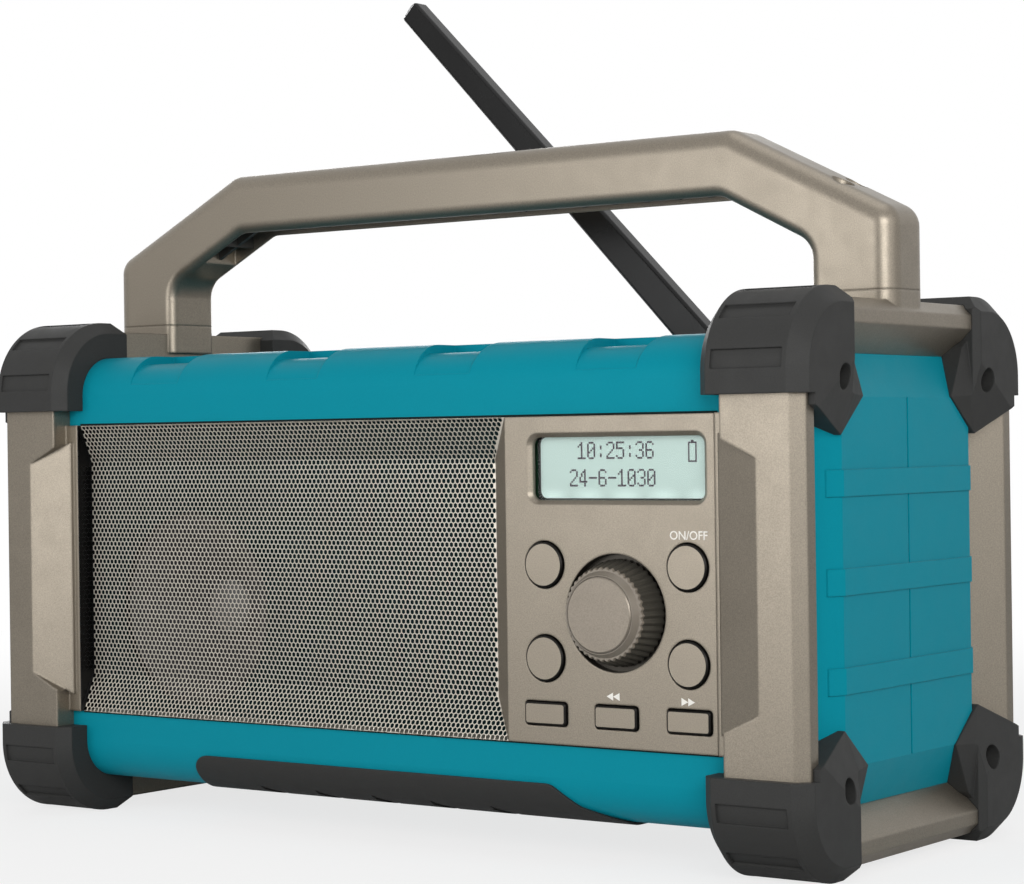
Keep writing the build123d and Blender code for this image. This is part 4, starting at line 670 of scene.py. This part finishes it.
clock_row = ("10:25:36", 76.8 * mm, 124.0 * mm)
date_row = ("24-6-1030", 73.9 * mm, 116.0 * mm)
battery_place = (115.0 * mm, 124.2 * mm)
cell_violet = (0.050, 0.036, 0.052, 1.0)
cell_film = surface(
    "display_cells", cell_violet, roughness=0.5,
    grain=0.6 * mm, grain_depth=0.002 * mm, mottle=0.05, edge=0.02 * mm,
)
numeral_rows("display_numerals", (clock_row, date_row), battery_place, cell_film)

mask_depth = 0.05 * mm
mask_lap = 1.0 * mm
mask_corner_radius = 2.2 * mm
corner_steps = 8


def rounded_outline(left, right, bottom, top, radius):
    """Outline of a rectangle with rounded corners."""
    points = []
    centres = ((right - radius, top - radius), (left + radius, top - radius))
    centres += ((left + radius, bottom + radius), (right - radius, bottom + radius))
    for corner, (x, z) in enumerate(centres):
        for step in range(corner_steps + 1):
            turn = math.radians(90 * (corner + step / corner_steps))
            points.append((x + radius * math.cos(turn), z + radius * math.sin(turn)))
    return points


def display_mask(name, finish):
    """A flat ring from the display's edge in to its opening, which has rounded corners."""
    left, bottom = module_low[0], module_low[2]
    right, top = module_high[0], module_high[2]
    shape = bmesh.new()
    edge = rounded_outline(left, right, bottom, top, mask_depth)
    opening = rounded_outline(left + mask_lap, right, bottom + mask_lap / 2, top, mask_corner_radius)
    outer = [shape.verts.new((x, film_y, z)) for x, z in edge]
    inner = [shape.verts.new((x, film_y, z)) for x, z in opening]
    for index, vert in enumerate(outer):
        follower = (index + 1) % len(outer)
        shape.faces.new((vert, outer[follower], inner[follower], inner[index]))
    piece = new_piece(name, shape, finish, "root")
    thicken(piece, mask_depth)
    return piece


mask_black = (0.012, 0.014, 0.013, 1.0)
mask_ink = surface(
    "display_mask_ink", mask_black, roughness=0.5,
    grain=0.6 * mm, grain_depth=0.002 * mm, mottle=0.05, edge=0.02 * mm,
)
display_mask("display_mask", mask_ink)

pane_inset = 0.05 * mm
pane_thickness = 1.0 * mm
pane_corner_radius = 2.6 * mm
pane_tint = (0.97, 0.99, 0.98, 1.0)
pane_roughness = 0.05
pane_refraction = 1.2


def clear_pane(name):
    """Clear plastic that lets light through and glints at a slant."""
    finish = bpy.data.materials.new(name)
    finish.use_nodes = True
    tree = finish.node_tree
    tree.nodes.remove(tree.nodes["Principled BSDF"])
    output = tree.nodes["Material Output"]
    through = add(tree, "ShaderNodeBsdfTransparent")
    through.inputs["Color"].default_value = pane_tint
    gloss = add(tree, "ShaderNodeBsdfGlossy")
    gloss.inputs["Roughness"].default_value = pane_roughness
    slant = add(tree, "ShaderNodeFresnel")
    slant.inputs["IOR"].default_value = pane_refraction
    side = add(tree, "ShaderNodeNewGeometry")
    outer_side = worked_out(tree, "SUBTRACT", 1.0, side.outputs["Backfacing"])
    both = add(tree, "ShaderNodeMixShader")
    join(tree, worked_out(tree, "MULTIPLY", slant.outputs["Fac"], outer_side), both.inputs["Fac"])
    join(tree, through.outputs["BSDF"], both.inputs[1])
    join(tree, gloss.outputs["BSDF"], both.inputs[2])
    join(tree, both.outputs["Shader"], output.inputs["Surface"])
    return finish


def plate(shape, outline, front, back):
    """Add a flat plate to a mesh, from its outline as (x, z) points and its two Y faces."""
    before = [shape.verts.new((x, front, z)) for x, z in outline]
    behind = [shape.verts.new((x, back, z)) for x, z in outline]
    shape.faces.new(before)
    shape.faces.new(behind[::-1])
    for index in range(len(outline)):
        follower = (index + 1) % len(outline)
        shape.faces.new((before[follower], before[index], behind[index], behind[follower]))
    bmesh.ops.recalc_face_normals(shape, faces=shape.faces)


def display_pane(name, finish):
    """The window's pane, a little smaller all round than the window's solid."""
    low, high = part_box("display_window")
    left, bottom = low[0] + pane_inset, low[2] + pane_inset
    right, top = high[0] - pane_inset, high[2] - pane_inset
    front = low[1] + pane_inset
    shape = bmesh.new()
    outline = rounded_outline(left, right, bottom, top, pane_corner_radius)
    plate(shape, outline, front, front + pane_thickness)
    return new_piece(name, shape, finish, "root")


window_plastic = clear_pane("window_plastic")
coat(window_plastic, "display_window")
pane = display_pane("display_pane", window_plastic)
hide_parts("display_window")

# ---------------------------------------------------------------- printed marks
# Pale pad-printed marks on the panel: the two pairs of arrows over the track keys, and the power key's
# two words. The ink stands a hair proud of the paint.
print_white = (0.80, 0.78, 0.73, 1.0)
print_ink = surface(
    "print_ink", print_white, roughness=0.5,
    grain=0.5 * mm, grain_depth=0.003 * mm, mottle=0.03, edge=0.02 * mm,
)
panel_front_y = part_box("control_panel")[0][1]
ink_thickness = 0.04 * mm
arrow_width = 2.25 * mm
arrow_height = 2.3 * mm
stroke_gain = 0.03 * mm
first_letter_share = 0.25
letter_smoothness = 4


def arrow_pair(name, left, middle, pointing):
    """Two triangles side by side, pointing left (-1) or right (1)."""
    shape = bmesh.new()
    for index in range(2):
        start = left + index * arrow_width
        base = start if pointing > 0 else start + arrow_width
        tip = start + arrow_width if pointing > 0 else start
        outline = [(base, middle - arrow_height / 2), (tip, middle), (base, middle + arrow_height / 2)]
        plate(shape, outline, panel_front_y - ink_thickness, panel_front_y)
    return new_piece(name, shape, print_ink, "root")


def printed_words(name, words, left, middle, width):
    """Printed capitals, set at a first size and then made as wide as asked."""
    lettering = bpy.data.curves.new(name, "FONT")
    lettering.body = words
    lettering.align_y = "CENTER"
    lettering.extrude = ink_thickness / 2
    lettering.size = width * first_letter_share
    lettering.resolution_u = letter_smoothness
    lettering.offset = stroke_gain
    piece = bpy.data.objects.new(name, lettering)
    bpy.context.scene.collection.objects.link(piece)
    bpy.context.view_layer.update()
    lettering.size = lettering.size * width / piece.dimensions.x
    piece.location = (left, panel_front_y - ink_thickness / 2, middle)
    piece.rotation_euler = (math.radians(90), 0.0, 0.0)
    lettering.materials.append(print_ink)
    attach(piece, "root")
    return piece


arrow_pair("skip_back_mark", left=88.6 * mm, middle=50.3 * mm, pointing=-1)
arrow_pair("skip_forward_mark", left=114.2 * mm, middle=49.9 * mm, pointing=1)
printed_words("power_mark", "ON/OFF", left=110.9 * mm, middle=97.0 * mm, width=12.6 * mm)

# ---------------------------------------------------------------- tuning knob
# A knob that narrows towards its front, moulded with shallow grooves and pushed onto the encoder's shaft.
# It is painted like the frame over its front rim, where a turned disc is set in, and its grooved sides are
# coloured dark as painted shade and painted dark reflection.
knob_base_radius = 15.5 * mm
knob_rim_radius = 13.3 * mm
rim_edge_radius = 13.1 * mm
bevel_foot_radius = 12.5 * mm
bevel_head_radius = 11.35 * mm
disc_seat_radius = 11.1 * mm
knob_rim_y = -67.3 * mm
rim_edge_y = -67.7 * mm
bevel_head_y = -69.75 * mm
groove_count = 42
groove_depth = 0.6 * mm
steps_per_groove = 6
front_paint_reach = 2.9 * mm
knob_side_shade = (0.050, 0.046, 0.037, 1.0)
disc_taupe = (0.200, 0.173, 0.140, 1.0)


def knob_ring(shape, radius, y, wave):
    """A ring of points round the knob's axis, waved in and out once for each groove."""
    knob_x, knob_z = middle_of("tuning_knob")
    ring = []
    count = groove_count * steps_per_groove
    for step in range(count):
        turn = 2 * math.pi * step / count
        reach = radius + wave * math.cos(groove_count * turn)
        place = (knob_x + reach * math.cos(turn), y, knob_z + reach * math.sin(turn))
        ring.append(shape.verts.new(place))
    return ring


def grooved_knob(name, finish):
    """The knob turned up from its profile, from the shaft's hole round to the floor of the disc's seat."""
    shaft_low, shaft_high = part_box("encoder_shaft")
    shaft_radius = (shaft_high[0] - shaft_low[0]) / 2
    knob_rear_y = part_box("tuning_knob")[1][1]
    seat_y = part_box("knob_cap")[1][1]
    wave = groove_depth / 2
    profile = (
        (shaft_radius, shaft_low[1], 0.0),
        (shaft_radius, knob_rear_y, 0.0),
        (knob_base_radius, knob_rear_y, wave),
        (knob_rim_radius, knob_rim_y, wave),
        (rim_edge_radius, rim_edge_y, wave),
        (bevel_foot_radius, rim_edge_y, 0.0),
        (bevel_head_radius, bevel_head_y, 0.0),
        (disc_seat_radius, bevel_head_y, 0.0),
        (disc_seat_radius, seat_y, 0.0),
    )
    shape = bmesh.new()
    rings = [knob_ring(shape, *point) for point in profile]
    for inner, outer in zip(rings, rings[1:]):
        for index, vert in enumerate(inner):
            follower = (index + 1) % len(inner)
            shape.faces.new((vert, inner[follower], outer[follower], outer[index]))
    shape.faces.new(rings[0])
    shape.faces.new(rings[-1][::-1])
    bmesh.ops.recalc_face_normals(shape, faces=shape.faces)
    return new_piece(name, shape, finish, "knob")


# Painted shade: the knob is coloured dark olive except over its front, which keeps the frame's taupe.
knob_paint = surface(
    "knob_paint", knob_side_shade, roughness=0.42, metallic=0.2,
    grain=0.35 * mm, grain_depth=0.02 * mm, mottle=0.10, edge=0.2 * mm,
)
front_limits = (("Y", bevel_head_y, front_paint_reach),)
recoloured(knob_paint, within(knob_paint.node_tree, front_limits), disc_taupe)
coat(knob_paint, "tuning_knob")
knob = grooved_knob("grooved_knob", knob_paint)
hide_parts("tuning_knob")
disc_paint = surface(
    "knob_disc_paint", disc_taupe, roughness=0.36, metallic=0.6,
    grain=0.35 * mm, grain_depth=0.02 * mm, mottle=0.12, edge=0.3 * mm,
)
coat(disc_paint, "knob_cap")

# ---------------------------------------------------------------- boards, encoder, sockets and battery
# Pieces inside the casing: two boards under green solder mask, switches, encoder and sockets moulded in
# black plastic, and a battery pack wrapped in blue film.
mask_green = (0.01, 0.10, 0.04, 1.0)
solder_mask = surface(
    "solder_mask", mask_green, roughness=0.35,
    grain=1.2 * mm, grain_depth=0.01 * mm, mottle=0.10, edge=0.2 * mm,
)
coat(solder_mask, "control_board", "main_board")
moulding_black = (0.018, 0.018, 0.02, 1.0)
black_plastic = surface(
    "black_plastic", moulding_black, roughness=0.5,
    grain=0.4 * mm, grain_depth=0.02 * mm, mottle=0.10, edge=0.3 * mm,
)
coat(black_plastic, "control_switches", "encoder_body", "encoder_plunger", "aux_socket", "dc_socket")
wrap_blue = (0.015, 0.035, 0.16, 1.0)
pack_wrap = surface(
    "pack_wrap", wrap_blue, roughness=0.3,
    grain=2.0 * mm, grain_depth=0.03 * mm, mottle=0.05, edge=0.4 * mm,
)
coat(pack_wrap, "battery_pack")

# ---------------------------------------------------------------- aerial
# A flat aerial under smooth black rubber. It tilts on a steel pin in its bracket and folds down into a
# groove along the top of the casing.
aerial_black = (0.004, 0.004, 0.004, 1.0)
aerial_rubber = surface(
    "aerial_rubber", aerial_black, roughness=0.26, gloss=0.2,
    grain=0.5 * mm, grain_depth=0.004 * mm, mottle=0.10, edge=0.8 * mm,
)
coat(aerial_rubber, "antenna_mast")

# ---------------------------------------------------------------- floor, light and camera
# A white floor that keeps a soft shadow round the radio and turns plain white further off, in a white
# room. Five soft boxes stand at the front right, the front left, the right, above and behind, and the
# camera stands at the front right, a little above the casing's middle.
white = (1.0, 1.0, 1.0, 1.0)
floor_white = (0.90, 0.90, 0.90, 1.0)
floor_roughness = 0.9
floor_half_width = 6.0
shadow_reach = 0.22
plain_reach = 0.95
least_plain_share = 0.76
white_glow = 1.0
room_light = 0.16

floor_mesh = bpy.data.meshes.new("floor")
floor_corners = [(-1, -1, 0), (1, -1, 0), (1, 1, 0), (-1, 1, 0)]
floor_mesh.from_pydata([Vector(c) * floor_half_width for c in floor_corners], [], [(0, 1, 2, 3)])
floor = bpy.data.objects.new("floor", floor_mesh)
bpy.context.scene.collection.objects.link(floor)
floor_paint = bpy.data.materials.new("floor_paint")
floor_paint.use_nodes = True
floor_tree = floor_paint.node_tree
floor_shader = floor_tree.nodes["Principled BSDF"]
floor_shader.inputs["Base Color"].default_value = floor_white
floor_shader.inputs["Roughness"].default_value = floor_roughness
floor_shader.inputs["Specular IOR Level"].default_value = 0.0
floor_glow = add(floor_tree, "ShaderNodeEmission")
floor_glow.inputs["Strength"].default_value = white_glow
floor_place = add(floor_tree, "ShaderNodeTexCoord")
floor_reach = add(floor_tree, "ShaderNodeVectorMath", operation="LENGTH")
join(floor_tree, floor_place.outputs["Object"], floor_reach.inputs[0])
plain_share = add(floor_tree, "ShaderNodeMapRange", interpolation_type="SMOOTHSTEP")
plain_share.inputs["From Min"].default_value = shadow_reach
plain_share.inputs["From Max"].default_value = plain_reach
plain_share.inputs["To Min"].default_value = least_plain_share
plain_share.inputs["To Max"].default_value = 1.0
join(floor_tree, floor_reach.outputs["Value"], plain_share.inputs["Value"])
floor_ray = add(floor_tree, "ShaderNodeLightPath").outputs["Is Camera Ray"]
seen_plain = worked_out(floor_tree, "MULTIPLY", floor_ray, plain_share.outputs["Result"])
floor_mix = add(floor_tree, "ShaderNodeMixShader")
join(floor_tree, seen_plain, floor_mix.inputs["Fac"])
join(floor_tree, floor_shader.outputs["BSDF"], floor_mix.inputs[1])
join(floor_tree, floor_glow.outputs["Emission"], floor_mix.inputs[2])
join(floor_tree, floor_mix.outputs["Shader"], floor_tree.nodes["Material Output"].inputs["Surface"])
floor_mesh.materials.append(floor_paint)

studio = bpy.data.worlds.new("studio")
studio.use_nodes = True
bpy.context.scene.world = studio
studio_tree = studio.node_tree
studio_light = studio_tree.nodes["Background"]
studio_light.inputs["Color"].default_value = white
studio_light.inputs["Strength"].default_value = room_light
white_room = add(studio_tree, "ShaderNodeBackground")
white_room.inputs["Color"].default_value = white
white_room.inputs["Strength"].default_value = white_glow
ray = add(studio_tree, "ShaderNodeLightPath").outputs
seen = worked_out(studio_tree, "MAXIMUM", ray["Is Camera Ray"], ray["Is Glossy Ray"])
seen = worked_out(studio_tree, "MAXIMUM", seen, ray["Is Transmission Ray"])
room_mix = add(studio_tree, "ShaderNodeMixShader")
join(studio_tree, seen, room_mix.inputs["Fac"])
join(studio_tree, studio_light.outputs["Background"], room_mix.inputs[1])
join(studio_tree, white_room.outputs["Background"], room_mix.inputs[2])
join(studio_tree, room_mix.outputs["Shader"], studio_tree.nodes["World Output"].inputs["Surface"])


def soft_box(name, place, width, height, power):
    """A rectangular lamp aimed at the middle of the radio."""
    lamp = bpy.data.lights.new(name, "AREA")
    lamp.shape = "RECTANGLE"
    lamp.size = width
    lamp.size_y = height
    lamp.energy = power
    holder = bpy.data.objects.new(name, lamp)
    bpy.context.scene.collection.objects.link(holder)
    aim = Vector((0.0, 0.0, mid_height)) - Vector(place)
    holder.location = place
    holder.rotation_euler = aim.to_track_quat("-Z", "Y").to_euler()


soft_box("front_box", place=(0.85, -0.90, 0.45), width=0.7, height=0.5, power=8.5)
soft_box("left_box", place=(-0.32, -0.98, 0.24), width=0.5, height=0.5, power=3.0)
soft_box("side_box", place=(1.30, -0.30, 0.5), width=0.8, height=0.8, power=2.0)
soft_box("top_box", place=(0.2, 0.1, 1.5), width=1.2, height=0.8, power=3.2)
soft_box("back_box", place=(-0.90, 1.10, 0.40), width=0.8, height=0.6, power=7.0)

camera_place = Vector((509.69, -682.82, 124.36)) * mm
camera_yaw = math.radians(36.134)
camera_roll = math.radians(0.775)
camera_lens = 91.13
camera_sensor_width = 36.0
camera_near_limit = 0.02
picture_width = 1024.0
axis_above_centre = 0.35
ahead = Vector((-math.sin(camera_yaw), math.cos(camera_yaw), 0.0))
level_right = Vector((math.cos(camera_yaw), math.sin(camera_yaw), 0.0))
up = Vector((0.0, 0.0, 1.0))
camera_right = level_right * math.cos(camera_roll) - up * math.sin(camera_roll)
camera_up = level_right * math.sin(camera_roll) + up * math.cos(camera_roll)
camera_data = bpy.data.cameras.new("camera")
camera_data.sensor_fit = "HORIZONTAL"
camera_data.sensor_width = camera_sensor_width
camera_data.lens = camera_lens
camera_data.shift_y = -axis_above_centre / picture_width
camera_data.clip_start = camera_near_limit
camera = bpy.data.objects.new("camera", camera_data)
bpy.context.scene.collection.objects.link(camera)
turned = Matrix((camera_right, camera_up, -ahead)).transposed()
camera.matrix_world = Matrix.Translation(camera_place) @ turned.to_4x4()
bpy.context.scene.camera = camera
bpy.context.scene.view_settings.view_transform = "Standard"
